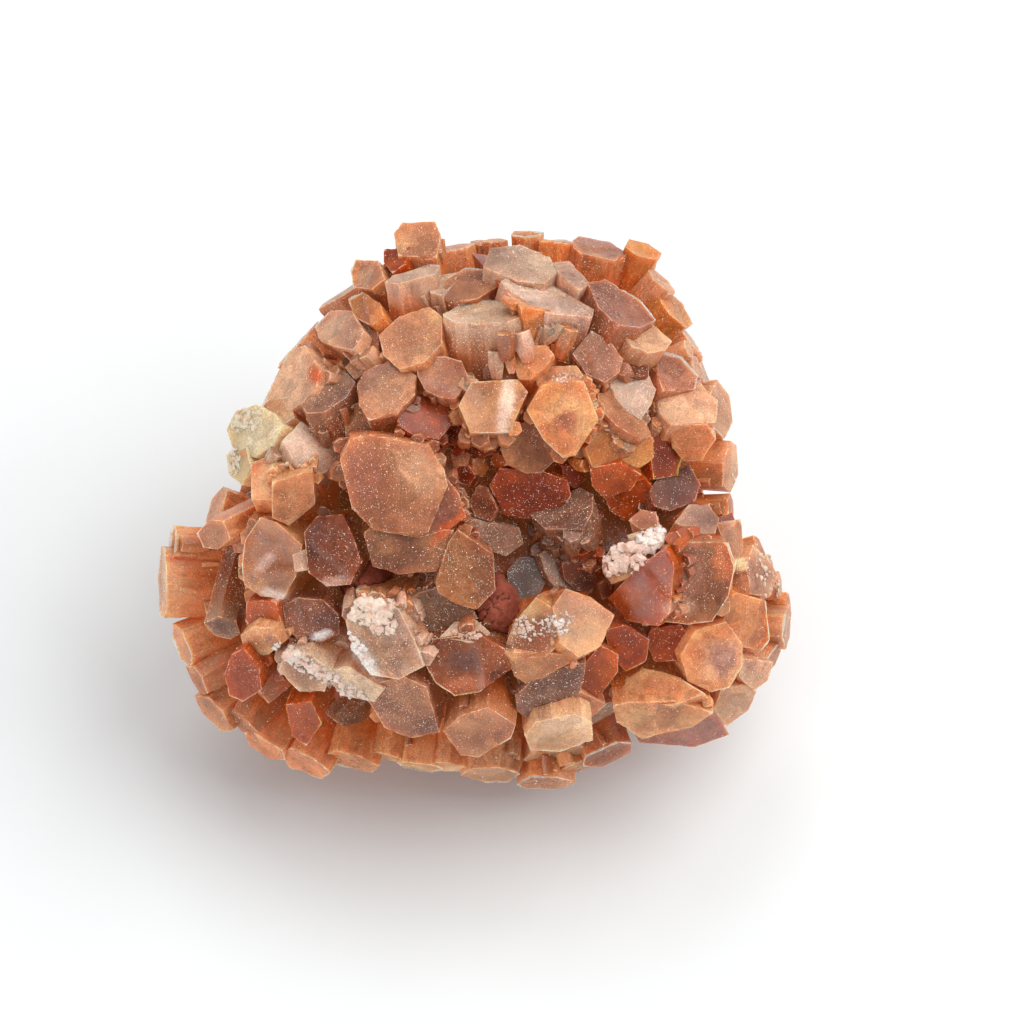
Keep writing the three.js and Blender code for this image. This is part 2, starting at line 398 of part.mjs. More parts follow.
// The mass in which the crystals' roots have grown together.
function core(grow = 0) {
  const ball = new THREE.IcosahedronGeometry(1, 2);
  const places = ball.getAttribute("position");
  for (let i = 0; i < places.count; i++) {
    const [x, y, z] = [places.getX(i), places.getY(i), places.getZ(i)];
    const reach = CORE.spread * outlineReach(x, y) + grow;
    const [u, v] = [heart.x + x * reach, heart.y + y * reach];
    const away = Math.hypot(u - HOLLOW.u, v - HOLLOW.v) / HOLLOW.reach;
    const dip = z > 0 ? HOLLOW.depth * Math.exp(-away * away) : 0;
    places.setXYZ(i, u, v, heart.z + z * ((z > 0 ? CORE.depth : CORE.backDepth) + grow) - dip);
  }
  return ball;
}

function joined(geometries) {
  return wasm.Manifold.union(geometries.map((g) => solidOf(g.applyMatrix4(faceToPart))));
}

const cappedRows = CAPPED.trim().split("\n");
const grown = joined([
  ...cappedRows.map((row) => cappedCrystal(row)),
  ...SIDE_ON.trim().split("\n").map(sideCrystal),
  ...backCrystals(),
  ...footCrystals(),
  core(),
]);
const ground = new THREE.BoxGeometry(2 * REST_HALF, 2 * REST_HALF, REST_HALF).translate(0, 0, -REST_HALF / 2);

// The one outer body of a solid, with its shortest edges closed up.
function outerBody(solid) {
  const bodies = solid.asOriginal().simplify(WELD).decompose();
  return bodies.reduce((best, body) => (body.volume() > best.volume() ? body : best));
}

function meshOf(solid, name, material) {
  const { numProp, vertProperties, triVerts } = solid.getMesh();
  const places = new Float32Array(3 * (vertProperties.length / numProp));
  for (let i = 0; i < places.length / 3; i++)
    places.set(vertProperties.subarray(i * numProp, i * numProp + 3), 3 * i);
  const geometry = new THREE.BufferGeometry()
    .setAttribute("position", new THREE.BufferAttribute(places, 3))
    .setIndex(new THREE.BufferAttribute(triVerts, 1));
  const mesh = new THREE.Mesh(geometry, material);
  mesh.name = name;
  return mesh;
}

const cluster = outerBody(grown.subtract(solidOf(ground)));

// A lump of clay with the crystals round it, and the clearance it keeps from them, cut away.
function clayLump([, middle, half]) {
  const ball = new THREE.IcosahedronGeometry(1, 2).scale(...half).translate(...middle);
  const around = joined([
    ...cappedRows.map((row) => cappedCrystal(row, CLAY_GAP)),
    core(CLAY_GAP),
  ]);
  return outerBody(solidOf(ball.applyMatrix4(faceToPart)).subtract(around));
}

const aragonite = new THREE.MeshStandardMaterial({ color: 0xc88a68, roughness: 0.55, flatShading: true });
const clay = new THREE.MeshStandardMaterial({ color: 0x8a4438, roughness: 0.95, flatShading: true });
const part = new THREE.Group();
part.add(meshOf(cluster, "crystal_cluster", aragonite));
for (const lump of CLAY) part.add(meshOf(clayLump(lump), lump[0], clay));

export default part;
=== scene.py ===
"""Looks of the aragonite sputnik cluster: each crystal of the CAD part again, with worn edges, striated
walls, growth steps and frost, grown into one body; dried clay, sugary crust and glitter lie on it.

Lengths are millimetres in the face frame (u right, v up the face, w out of it) until a mesh is made."""

import itertools
import json
import math

import bmesh
import bpy
import numpy as np
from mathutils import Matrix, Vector
from mathutils.bvhtree import BVHTree
from mathutils.geometry import delaunay_2d_cdt

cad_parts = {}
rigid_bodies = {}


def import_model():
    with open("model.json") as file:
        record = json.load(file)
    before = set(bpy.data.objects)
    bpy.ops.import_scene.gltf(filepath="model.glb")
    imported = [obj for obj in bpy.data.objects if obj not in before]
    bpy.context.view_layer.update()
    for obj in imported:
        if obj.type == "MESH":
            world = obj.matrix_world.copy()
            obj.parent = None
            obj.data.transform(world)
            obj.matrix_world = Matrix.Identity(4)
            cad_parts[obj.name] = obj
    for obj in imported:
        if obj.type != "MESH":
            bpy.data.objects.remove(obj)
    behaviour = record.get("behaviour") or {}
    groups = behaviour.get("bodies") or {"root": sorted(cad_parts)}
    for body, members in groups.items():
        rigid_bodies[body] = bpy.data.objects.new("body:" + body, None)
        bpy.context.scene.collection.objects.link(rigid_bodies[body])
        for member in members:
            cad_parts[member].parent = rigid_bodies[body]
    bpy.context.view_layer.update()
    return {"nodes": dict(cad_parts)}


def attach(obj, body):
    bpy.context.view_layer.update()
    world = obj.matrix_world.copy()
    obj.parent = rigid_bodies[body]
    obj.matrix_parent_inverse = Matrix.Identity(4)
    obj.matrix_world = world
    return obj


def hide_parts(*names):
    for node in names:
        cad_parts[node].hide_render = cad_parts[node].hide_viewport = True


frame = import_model()

MM = 0.001

# The form of the cluster, as in the CAD part.
FACE_RISE = 55
FACE_CENTRE = np.array([3.8, 0.5, 22.5])
HEART = np.array([-3.6, 0.5, -1.0])
OUTLINE = [
    *(25.9, 26, 26.2, 28.2, 30, 28, 26.6, 28, 25.8, 24.4, 24.6, 25.6),
    *(27.4, 32.4, 33.4, 32.3, 29.4, 27.2, 27.2, 28.5, 28.4, 30.6, 33.6, 31.8),
]
DOME_SPREAD, DOME_DEPTH = 1.09, 20
CORE_SPREAD, CORE_DEPTH, CORE_BACK_DEPTH, CORE_LUMPS = 0.77, 16.5, 14.5, 0.5
HOLLOW_U, HOLLOW_V, HOLLOW_REACH, HOLLOW_DEPTH = 2.5, -1.5, 8, 4.5
SHELL_SPREAD, SHELL_DEPTH = (0.83, 0.93), 21
FRONT_LENGTH, SIDE_LENGTH, BACK_LENGTH = 15, 17, 15
BACK_COUNT, HIDDEN_FROM, FAR_FROM = 96, 0.45, -0.3
RIM_RADIUS, FAR_RADIUS, HIDDEN_STRETCH = (1.8, 3.2), (3.2, 4.8), (0.9, 1.2)
AXIS_MISS, CORNER_TURN, CORNER_REACH = 4, 9, (0.88, 1.1)
CLEAR_OF_GROUND, FOOT_DEPTH = 0.9, 1

# Crystals whose end cap is seen: tone, heading and lean of the axis, how far the cap stands proud of the
# dome, then the cap's outline as u,v pairs.
CAPPED = """
peach 100 50 0.5 : -11.9,28 -11,29.2 -7.7,29.2 -7.1,27.8 -7.5,25.4 -11.4,25.6
rust 130 50 0 : -12.9,26.4 -10.2,26.6 -10.6,24.8 -12,23.8 -12.9,25
peach 140 58 0 : -16.3,24.2 -15.8,25.5 -13.4,25.2 -12.7,23.3 -14,22.2 -16,22.6
pearl 100 68 1.2 : -12.7,22.9 -12,23.6 -8.2,24.8 -7.2,24.7 -7.6,23.9 -11.3,22.7
pearl 100 62 0 : -8.2,22 -7.2,23.7 -5.2,24 -5.7,22.9 -6.9,21.6
mauve 92 50 0.5 : -6.9,21.4 -6.6,23.2 -4.7,24.5 -1.2,24.2 -1.2,22.7 -3.4,21.2 -5.7,20.8
pearl 85 58 1 : -2.9,24.4 -2.2,26.4 0.8,26.8 3.8,25.6 4.5,24 3.3,22.8 0.6,22.9
pearl 72 64 2.2 : -1.1,23 0.3,23.6 3.8,22.9 8.2,20.1 8,19.3 3.8,19.6 1.8,20.4
pearl 70 62 0.5 : 4.1,25 5.8,25.1 7.9,22.8 6.8,22.1 4.8,23.5
mauve 62 60 1.5 : 7.5,22.9 9.3,23.3 12.8,21.3 14.4,19.2 12.8,18.4 10.4,18.6 8.6,20.4
blush 52 52 1.8 : 10.7,19 12.3,19.5 14.3,18.6 16,17 15.3,16.1 13.6,15.8 12,16.6
chalk 95 64 2.4 : -6.9,19.7 -5.4,20.6 -3.2,21.2 -0.2,21 1.3,19.4 -0.7,18.7 -5.7,18.9
amber 310 30 1.6 : 0.8,20.2 3.9,19.9 5.6,15.8 5.8,14.6 4.4,15 1.4,17.2
peach 118 38 0.8 : -13.3,17.6 -11.2,19.5 -8.2,20.5 -6.9,19.4 -7,16.7 -8.7,14.9 -11.2,14.2 -12.8,15.6
rose 110 20 0.6 : -9.4,15.2 -6.7,15.5 -5,15 -4.3,13.4 -5.6,11.1 -7,11.3 -8.6,12 -9.4,13.5
peach 80 14 1.2 : -5.3,10.6 -4,12.9 0.6,13.2 1.6,11.9 -0.2,7.9 -4.1,7.8
apricot 100 20 1.4 : 0,15.3 0.8,16.4 3.3,16.7 4.2,15.6 3.3,14.2 1.8,13.1 0.6,13.2
apricot 90 35 1.2 : 1.3,17.6 1.9,18.3 2.9,18.2 3.4,17.2 2.4,16.6 1.4,16.9
cream 100 30 1.6 : -2.5,16.4 -0.6,16.8 0,16.1 -0.3,15 -2.3,15
rose 200 15 0 : -3,13.9 -2.5,14.8 -1.4,14.8 -1,13.8 -1.5,13 -2.6,13
apricot 268 10 2 : 1.4,10 2.8,12.4 4.4,13 7.1,12.9 8.6,9.1 6.3,5.5 5,5.3 3.1,7.1
peach 90 35 0.8 : 2.4,13 3.2,14.5 6.4,14.6 7.4,13.2 6.6,11.6 3,11.6
rose 70 24 1.2 : 6,15.8 7.9,18.1 9.8,16.9 11.1,15.2 10.7,13.9 9.2,12.8 7.4,13.7
umber 55 42 0.2 : 10,17 11.3,17.6 13.7,15.4 13.6,13.5 11.3,13.4 10.3,15
pearl 45 28 0.4 : 9.5,12.6 10.6,14 13.6,13.7 14.4,12.2 13.9,10.7 12.8,9.1 10.8,10.2
rose 45 48 0.8 : 8.4,12 10,12.3 12.8,9.6 14.1,7.8 12.8,7.1 10.3,8.6 8.8,10.2
amber 335 24 0 : 7.3,6.2 8.6,8.2 10.2,9 14,7.4 14.2,5.4 12.8,4.3 8,4.4
rose 270 15 -2 : -1.2,6.2 -0.5,8.3 1.8,9.1 3.4,7.6 4.4,5.2 2.9,3.8 1.3,3.8 -0.5,4.6
rust 220 25 -3.6 : -5.3,9 -3.6,8.6 -1.2,7.4 -1.6,5.9 -3.2,5.2 -5,6.2
rust 275 22 -4 : -2.3,2.6 -1.2,4.3 2.8,4.1 5.5,3.1 5.9,1.6 4.8,0 2.8,-0.9 -0.8,-0.4
rose 200 20 -4.8 : -4.3,1.1 -3.4,2.7 -2.3,2.4 -1.5,0.2 -2.2,-1 -3.8,-0.5
smoke 310 20 -5.5 : -5.3,-1.7 -3.8,-0.7 0.8,-1.6 1.2,-3.2 -0.6,-4.5 -3,-3.6
smoke 112 34 -3.4 : 1.6,-0.1 4.2,1.3 6.7,2.5 8.1,1.8 8,0 7,-1.7 3.3,-1.7
mauve 100 25 -5.6 : 3,-2.4 7.1,-2 6.7,-3.5 4.3,-3.8
coal 60 14 -6.2 : -0.5,-5.8 0.7,-4.5 2.4,-4.3 3.5,-5.4 3.4,-7 2.3,-9 0.8,-10.1 -0.5,-8.8
smoke 20 22 -6 : 2.7,-4.2 4.1,-3.2 5.2,-4.6 6.3,-7.8 4.6,-8 3.4,-6.4
umber 340 22 -5.6 : 4.9,-4.9 7.7,-5 8.6,-6.8 7.9,-8.1 6.3,-7.8 5.2,-6.6
mauve 350 20 -5 : 8.5,-7.2 9.2,-6.8 10,-7.4 9.9,-8.4 9,-8.8
rust 160 30 -3.4 : -6.9,8.4 -5.6,8.9 -4.9,8 -5.2,6.7 -6.5,6.7
rose 130 26 -4 : -6.3,6.5 -5,6.7 -4.2,5.8 -4.6,4.6 -5.9,4.5
rust 230 30 -4.4 : -5.6,4.4 -4.4,4.7 -3.6,3.7 -4.2,2.6 -5.4,2.8
amber 350 34 -4.6 : -3.9,5.3 -2.7,5.4 -2.2,4.4 -2.9,3.4 -3.9,3.9
rust 200 40 -3.4 : -1.9,5.9 -0.6,5.6 -0.5,4.6 -1.5,4.2 -2.2,4.9
rust 330 28 -4.2 : 4.9,4.6 6.6,4.6 7.4,3.2 6.3,2.2 5.2,3
rust 20 30 -4.6 : 6.9,0.6 8.6,1.2 9.2,-0.4 8.2,-1.4 7,-0.8
rust 100 30 -5 : 5.9,-2.6 7.9,-2.3 8.4,-3.6 7,-4.4 5.8,-3.8
blush 140 60 0.6 : -19.8,18.6 -18.2,20.3 -16,20.1 -14.9,18.2 -15.7,16.1 -17.7,16.5 -19.3,17.2
amber 130 56 0.4 : -16.5,21.4 -15,22.1 -13.1,20.8 -12.7,19.3 -14,18.6 -15.8,19.5
mauve 130 42 0.4 : -17.1,16.1 -14.7,18.8 -13.3,17.9 -13.3,16.2 -14.4,15.1 -15.7,14.6
mauve 130 36 0 : -16.8,14.5 -15,16 -13.6,16.1 -14.2,14.1 -15.7,13.2
blush 150 56 0.8 : -24.7,11.6 -22.3,16.2 -20.7,16.7 -19.1,14.3 -19.6,11.8 -22.2,10.1 -24.2,10.6
smoke 112 52 1.4 : -21,10.7 -19.4,12.8 -16.7,14.3 -15.6,13 -16.4,11.5 -18.6,9.9 -20.4,9.8
mauve 108 28 1.4 : -15.4,12.8 -14.4,14.2 -12,15.1 -9.4,13.5 -9.6,11.6 -11.3,9.7 -14.2,9 -15.2,10.6
rust 60 28 -0.6 : -9.8,11.8 -7.2,11.9 -5.4,10.8 -5.7,9 -7.2,7.1 -9.2,7.3 -11.3,8.5 -11.4,10
rose 150 20 -0.6 : -16.9,10.2 -15,11 -13.6,8.8 -14.6,7.4 -16.5,7
ivory 160 52 1.2 : -28.7,8.2 -27.7,10.1 -25.6,10.8 -23.6,9.8 -22.8,8.6 -23.7,6.6 -25.7,5.4 -28,6.4
cream 140 48 1 : -24.5,11.2 -22.4,11.5 -21.7,9.5 -23.2,8.5 -24.5,9.2
ivory 176 60 0.4 : -28.7,5.8 -26.6,6.5 -26,4.4 -27,2.6 -28.4,3.8
chalk 70 44 0.6 : -22.9,7 -21,9.1 -16.8,6.5 -17.4,4.6 -18.8,3.8 -21.2,4.6
apricot 120 34 1.4 : -26,4.9 -23.7,5.8 -21.2,7.3 -19.1,5.6 -19.5,3.2 -23.4,1.2 -25.9,1.2
straw 262 20 2.6 : -23.8,2.9 -19.7,4.2 -19.5,0.7 -22.1,-1.5 -23.8,-0.6
peach 205 56 1.6 : -31.6,-2.2 -30.2,-0.7 -28.6,-0.9 -28.1,-2.8 -29.4,-3.8 -30.9,-3.6
peach 200 24 0.8 : -26.9,-5.2 -26.6,-2.8 -25,-0.5 -23.4,-1 -20.8,-3.3 -21.4,-6.4 -22.7,-8.7 -25,-8.4 -26.7,-7.2
umber 200 12 1.2 : -20.6,-2 -19.4,-0.4 -16.7,-0.2 -15.6,-2.6 -14.9,-4.9 -16,-7.2 -18.4,-7.4 -20.2,-6
chalk 190 20 0.9 : -21.8,-4.2 -20.4,-3.6 -20.2,-5.8 -21.6,-6
rust 222 44 0 : -26.4,-8.8 -23.4,-8.8 -22.9,-10.9 -25,-12.2 -26.6,-10.9
peach 230 48 0.6 : -27.1,-12.3 -25.7,-11.3 -23.7,-11.6 -22.9,-13.2 -24.2,-14.2 -26.4,-14.6
umber 240 25 -0.2 : -22.8,-9.4 -21.2,-8.5 -18.7,-8.7 -17.1,-10.2 -17.1,-12.2 -19,-13 -21.2,-12.8 -22.5,-11.4
umber 240 32 -0.6 : -22.3,-12.6 -19.3,-12.6 -19.5,-14.4 -20.9,-14.9
rust 232 44 0.8 : -28.8,-16.3 -28,-14.2 -26.7,-13.5 -25.1,-15.6 -25,-17.8 -26.9,-19 -28.3,-18.4
chalk 248 44 0.4 : -23.3,-15.7 -22.7,-14.2 -20.2,-14.1 -17.8,-15.7 -18.6,-17.9 -21.2,-18
pearl 236 46 0.8 : -18.9,-15.9 -16.2,-15.3 -12.6,-17.6 -13.7,-18.9 -16.9,-18.3
rust 248 52 -0.4 : -22.6,-19.2 -20,-18.9 -19,-21.2 -20.6,-23.5 -22.1,-22.4
rose 285 8 2.2 : -17,5.2 -15.9,7.3 -13.7,7.6 -8.2,6.6 -6.7,4.2 -6.3,2.6 -8.2,-2 -9.4,-2.4 -13.9,-1.6 -15.8,0.3
mauve 300 12 0.9 : -14.2,-0.8 -8,3.4 -6.6,3.5 -5.2,1.8 -4.5,-0.5 -6.2,-1.8 -9.2,-2.6 -13.7,-1.8
mauve 268 16 0 : -14.7,-2.2 -13.7,-1.2 -5.7,-1.8 -6.3,-4.4 -7.3,-5.9 -11.2,-6.2 -13.8,-5.4
mauve 300 8 0.4 : -7.6,-7 -6.3,-3 -5.4,-1.7 -1.8,-4.2 -1.6,-7.8 -3.5,-9.7 -5.7,-9.1 -7.3,-8
smoke 280 20 -0.8 : -10.8,-9.2 -9.2,-8 -7.2,-7.5 -4.7,-8.9 -3.3,-10.6 -6.2,-11.6 -8.4,-11.9 -10.1,-10.6
chalk 228 24 2.4 : -16.5,-10.8 -15.2,-8.7 -11.2,-9.6 -9.7,-12.6 -8.7,-15.3 -11.2,-16.6 -14,-16.2 -16,-13.4
mauve 255 42 1.2 : -13.6,-17 -10.7,-16.3 -8.4,-17.4 -7.2,-22 -10.2,-22.6 -12.7,-21.5 -14.3,-18.8
umber 264 20 1.6 : -8.8,-14.8 -7.8,-12.6 -3.2,-12.1 -0.7,-13.5 -0.1,-15.6 -3.2,-17.9 -5.7,-18.3 -7.6,-17
chalk 90 30 0.4 : -7.2,-12.4 -5.7,-10.8 -3.7,-10.5 -2.1,-11.9 -3.2,-13
peach 30 24 2.4 : 4,-9.4 5.3,-7.5 7.8,-8.3 10.2,-10.2 8.8,-13.3 6.6,-14.4 4.7,-12.9
crust 205 20 1.8 : -0.8,-13.6 0.2,-10.9 2.3,-8.4 3.9,-9.4 5,-12.8 3.3,-14.4 0.8,-14.5
peach 262 42 1.6 : -0.8,-13.8 3.3,-13.9 6.8,-14.3 4,-16 1.8,-17.3 0.2,-16.3
smoke 280 34 0.8 : 1.8,-16.9 4.8,-15.4 7.4,-15 7.1,-16.9 6,-20.1 2.3,-21.2 0.5,-19.8 0.3,-18.2
rust 292 34 0.2 : 7,-15.4 8.8,-13.2 10.6,-14.2 10.6,-15.9 8.3,-19 6.4,-17.9
rose 264 50 1.8 : -6.9,-21.8 -5.2,-20.2 -2.4,-19.4 0.4,-21.2 -0.1,-22.6 -3.4,-24.5 -5.2,-24.3
cream 276 56 1.6 : 1.2,-22.2 2.3,-20.9 6.3,-20.1 7.9,-20.9 8.1,-22.8 4.8,-24 1.8,-23.8
rose 284 42 0.4 : 5.9,-19.9 6.7,-17.7 9.4,-19.2 7.9,-20.7
rose 310 14 2.4 : 14.2,-10.8 13.6,-7 15.2,-3.6 17.4,-2.9 21.3,-3 22.1,-5.6 21.5,-8.4 19.9,-10.9 17.4,-11.2
rust 205 30 1.6 : 9.5,-8.6 12.2,-5.6 15.2,-3.4 16,-5.5 15.6,-10 14.4,-11.4 11.4,-10.8
apricot 8 30 1.2 : 19.9,-3.1 21.6,-3 22.3,-5.2 21.9,-7.6 20.6,-8.6
rose 180 24 -0.6 : 8.9,-4.9 9.8,-3.5 12.3,-3.2 12.9,-4.8 11.3,-6.7 9.8,-7.2 8.9,-6
chalk 120 24 -0.2 : 11.3,-2.3 13.2,-1.5 14.8,-1.2 15.4,-2.5 13.8,-3.9 12.6,-3.7
rose 110 30 -0.4 : 11.5,-0.8 12.8,0.3 14.3,0.1 14.6,-1.3 12.8,-1.8
pearl 60 42 0.6 : 16.2,-0.9 17.6,0.8 19.6,0.8 20.7,-0.6 20.3,-2.1 18.3,-2.1
umber 40 38 -1.4 : 13.7,2.2 14.8,3.8 17.8,4.8 18.9,2.7 18.3,1.1 15.8,0.1 14.2,0.6
rust 300 30 -2.6 : 9.2,1.6 11.3,2.8 13.3,3.3 14.4,2.1 13.3,0.1 11.3,-1 9.7,0.1
rust 280 30 -1.2 : 7.7,4.4 10.8,4.9 12.9,3.7 11.8,2.1 9.3,1.1 7.9,2.6
rust 0 40 -1.2 : 13.7,7.2 15.3,8.2 17,5.4 16.6,3.6 14.2,3.2
apricot 282 30 1 : 15.5,8.7 19.4,8.7 20.4,7.2 19,5.1 17.1,5 15.9,6.4
blush 60 44 1.4 : 14.4,11.2 15.3,12.5 18.8,12.9 20.6,11.2 20.4,8.9 15.8,8.6 14.7,9.9
rose 50 52 0.8 : 14.2,14.6 15.3,16.1 17,15.6 18.7,13.7 18.3,12.3 15,12
blush 10 46 0.6 : 20.6,-1 22.9,-0.7 23.3,-4.8 22.3,-6 21.3,-3.6
blush 15 58 0.8 : 23.5,-5 24.1,-3.2 25.8,-4.9 26.7,-6.3 25.8,-8.5 23.8,-8.2
amber 330 46 1.2 : 20.9,-8.9 22.4,-8 25.4,-8.9 25.9,-12.9 25,-13.9 22.8,-13.5 21.2,-11.5
apricot 312 28 1.8 : 16.7,-14.3 18.2,-11.7 21.3,-10.9 23,-13.2 23,-15.4 21.8,-17.5 19.8,-18 17.5,-16.9
rust 280 20 -0.4 : 13.2,-12.8 13.9,-11.5 16.8,-11.2 17.9,-12.8 16.8,-14.8 14.2,-15
rust 290 28 -0.4 : 9.2,-11.8 11.3,-11.2 13.7,-12.7 13.4,-14.9 11.3,-16 9.8,-14.3
apricot 120 20 1 : 10.5,-18.8 11.3,-16.4 12.8,-15.4 16.3,-16.2 19.2,-18 16,-19.2
peach 276 46 2.4 : 10,-19.3 11.5,-18.9 16.2,-18.8 20.1,-20 18,-21.5 13,-22.7 10.4,-21
cream 312 56 1.2 : 20.2,-19.8 20.9,-17.7 23.3,-17.2 24.6,-18 23.8,-19.9 21.5,-21.6
blush 332 56 1 : 22.7,-16.5 23,-14.6 26.2,-15 25.7,-16.9 24.3,-18
"""

# Crystals seen from the side: tone, place of the tip (u v w), heading and lean, radius, stretch and turn.
SIDE_ON = """
peach -6.2 26.6 3 100 80 2.2 1.3 10
rose -3.3 27.3 1 95 78 1.2 1.0 25
peach -1.7 27.4 2 92 76 1.2 1.0 0
peach 1.4 28.2 2 92 78 1.6 1.1 15
amber 4.2 27.4 3 88 80 1.6 1.2 40
peach 8.8 26.6 3 76 70 3.1 1.0 8
amber 13.2 26.5 2 70 66 2.0 1.1 20
blush 15 23.4 3 50 70 1.7 1.1 10
amber 16.4 20.6 3 40 66 2.5 1.1 30
blush 17.8 16.4 5 25 70 1.1 1.0 0
blush 18.6 14.7 4 15 68 1.2 1.1 15
blush 21.0 10.2 3 6 64 2.8 1.1 5
peach 22.0 4.4 2 355 70 2.7 1.1 20
peach 22.1 0.4 2 2 76 1.4 1.2 0
peach 25.0 -3.6 2 20 72 1.3 1.1 10
cream 26.2 -5.4 1 12 78 1.3 1.0 35
peach 27.1 -7.4 2 5 80 1.3 1.1 50
amber 27.9 -9.4 0 0 80 1.4 1.1 20
blush 27.9 -11.6 1 355 80 2.4 1.1 0
peach 26.2 -15.2 1 330 75 2.0 1.1 25
cream 4.5 -24.4 3 275 66 3.3 1.0 10
peach 3.4 -27.5 0 272 76 3.0 1.0 0
peach 6.8 -25.8 0 290 78 2.7 1.1 30
rose 9.8 -24.6 2 292 70 3.0 1.0 12
blush -2.2 -26.6 2 268 72 3.1 1.0 5
straw -6.4 -25.8 2 265 76 2.1 1.1 20
straw -9.4 -25.8 2 262 76 2.2 1.2 0
straw -12.6 -24.8 2 255 78 1.9 1.1 33
apricot -16.2 -25.2 2 256 70 2.7 1.1 8
apricot -21.2 -25.4 1 242 66 2.7 1.1 16
apricot -25.1 -23.8 1 236 68 2.5 1.1 0
peach -27 -21.6 2 228 70 1.9 1.1 40
peach -30.2 -20.4 1 222 66 2.4 1.1 12
peach -31.8 -17 2 210 72 2.0 1.0 25
straw -33.4 -13.6 2 200 70 2.5 1.0 5
straw -35.3 -7.2 2 180 80 3.6 1.1 28
straw -34.4 -3.4 3 176 78 2.0 1.2 0
straw -29.8 0.6 3 158 66 2.2 1.1 20
cream -26.6 4 -2 170 86 3.2 1.1 40
blush -25.2 11 -2 155 86 3.6 1.1 0
peach -21.8 17 -2 138 86 3.4 1 25
rose -16.8 22.4 -1 122 84 3.2 1.1 10
peach 17.6 18.2 -2 38 84 3.2 1 0
rose 20.2 12.4 -3 20 84 3.4 1.1 30
smoke -28.8 -11.6 11.5 255 50 1.9 1 0
"""

# Crystals that carry the cluster: place on the ground (x y) and radius.
FEET = [(0, -9, 3.6), (11, -4, 3.4), (8, 9, 3.8), (-4, 10, 3.4), (-12, 3, 3.8), (-9, -7, 3.2), (0, 1, 3.6)]

# ---- frames, numbers and noise

rise = math.radians(FACE_RISE)
FACE_TO_PART = np.array(
    [[1, 0, 0], [0, math.sin(rise), -math.cos(rise)], [0, math.cos(rise), math.sin(rise)]]
)


def to_part(points):
    """Face frame to part frame."""
    return np.asarray(points, float) @ FACE_TO_PART.T + FACE_CENTRE


def to_face(points):
    """Part frame to face frame."""
    return (np.asarray(points, float) - FACE_CENTRE) @ FACE_TO_PART


seed = 48271


def between(low, high):
    """The next number of the CAD part's own repeatable series."""
    global seed
    seed = (seed * 1664525 + 1013904223) % 4294967296
    return low + (high - low) * seed / 4294967296


def unit(vector):
    return vector / np.linalg.norm(vector)


def axis_to(heading, lean):
    across, out = math.radians(heading), math.radians(lean)
    return np.array([math.sin(out) * math.cos(across), math.sin(out) * math.sin(across), math.cos(out)])


def outline_reach(across, up):
    turn = (np.arctan2(up, across) / (2 * math.pi) + 1) * len(OUTLINE)
    return np.interp(turn % len(OUTLINE), range(len(OUTLINE) + 1), OUTLINE + OUTLINE[:1])


def dome_height(u, v):
    across, up = u - HEART[0], v - HEART[1]
    share = math.hypot(across, up) / (DOME_SPREAD * outline_reach(across, up))
    return DOME_DEPTH * math.sqrt(max(0, 1 - share * share))


def lattice(x, y, z, salt):
    """A repeatable number from -1 to 1 at each whole-number point."""
    h = (x * 374761393 + y * 668265263 + z * 1274126177 + salt * 2246822519) & 0xFFFFFFFF
    h = ((h ^ (h >> 13)) * 1103515245) & 0xFFFFFFFF
    h = ((h ^ (h >> 15)) * 668265263) & 0xFFFFFFFF
    return ((h >> 8) & 0xFFFF) / 32767.5 - 1


def noise(points, frequency, salt=0):
    """Smooth noise from -1 to 1; frequency is in waves a millimetre."""
    q = np.asarray(points, float) * frequency
    base = np.floor(q).astype(np.int64)
    f = q - base
    f = f * f * (3 - 2 * f)
    total = np.zeros(len(q))
    for corner in itertools.product((0, 1), repeat=3):
        total += np.where(corner, f, 1 - f).prod(1) * lattice(*(base + corner).T, salt)
    return total


def fractal(points, frequency, salt=0):
    return sum(noise(points, frequency * 2**k, salt + k) / 2**k for k in range(3))


# ---- one crystal


class Crystal:
    """A prism: its cap's corners, anticlockwise seen from the tip, drawn back along the axis."""

    def __init__(self, tone, corners, axis, length, fine):
        self.tone, self.axis, self.length, self.fine = tone, axis, length, fine
        self.middle = corners.mean(0)
        self.across = unit(corners[0] - self.middle)
        self.other = np.cross(axis, self.across)
        self.flat = (corners - self.middle) @ np.stack([self.across, self.other], 1)
        self.size = np.hypot(*self.flat.T).mean()

    def out(self, flat, forward):
        """Local places across the crystal, and along it, as points of the face frame."""
        return self.middle + flat @ np.stack([self.across, self.other]) + np.outer(forward, self.axis)


def edge_distance(flat, start, end):
    """Distance of points from an edge, in its own plane."""
    run = end - start
    share = ((flat - start) * run).sum(1) / np.maximum((run * run).sum(-1), 1e-9)
    return np.hypot(*(flat - start - run * np.clip(share, 0, 1)[:, None]).T)


def rim_distance(flat, polygon):
    return np.min([edge_distance(flat, a, b) for a, b in zip(polygon, np.roll(polygon, -1, 0))], 0)


def inside(flat, polygon):
    """True where a point lies in the polygon."""
    x, y = flat.T
    hit = np.zeros(len(flat), bool)
    for (ax, ay), (bx, by) in zip(polygon, np.roll(polygon, -1, 0)):
        slope = (bx - ax) / np.where(by == ay, 1, by - ay)
        hit ^= ((ay > y) != (by > y)) & (x < ax + (y - ay) * slope)
    return hit


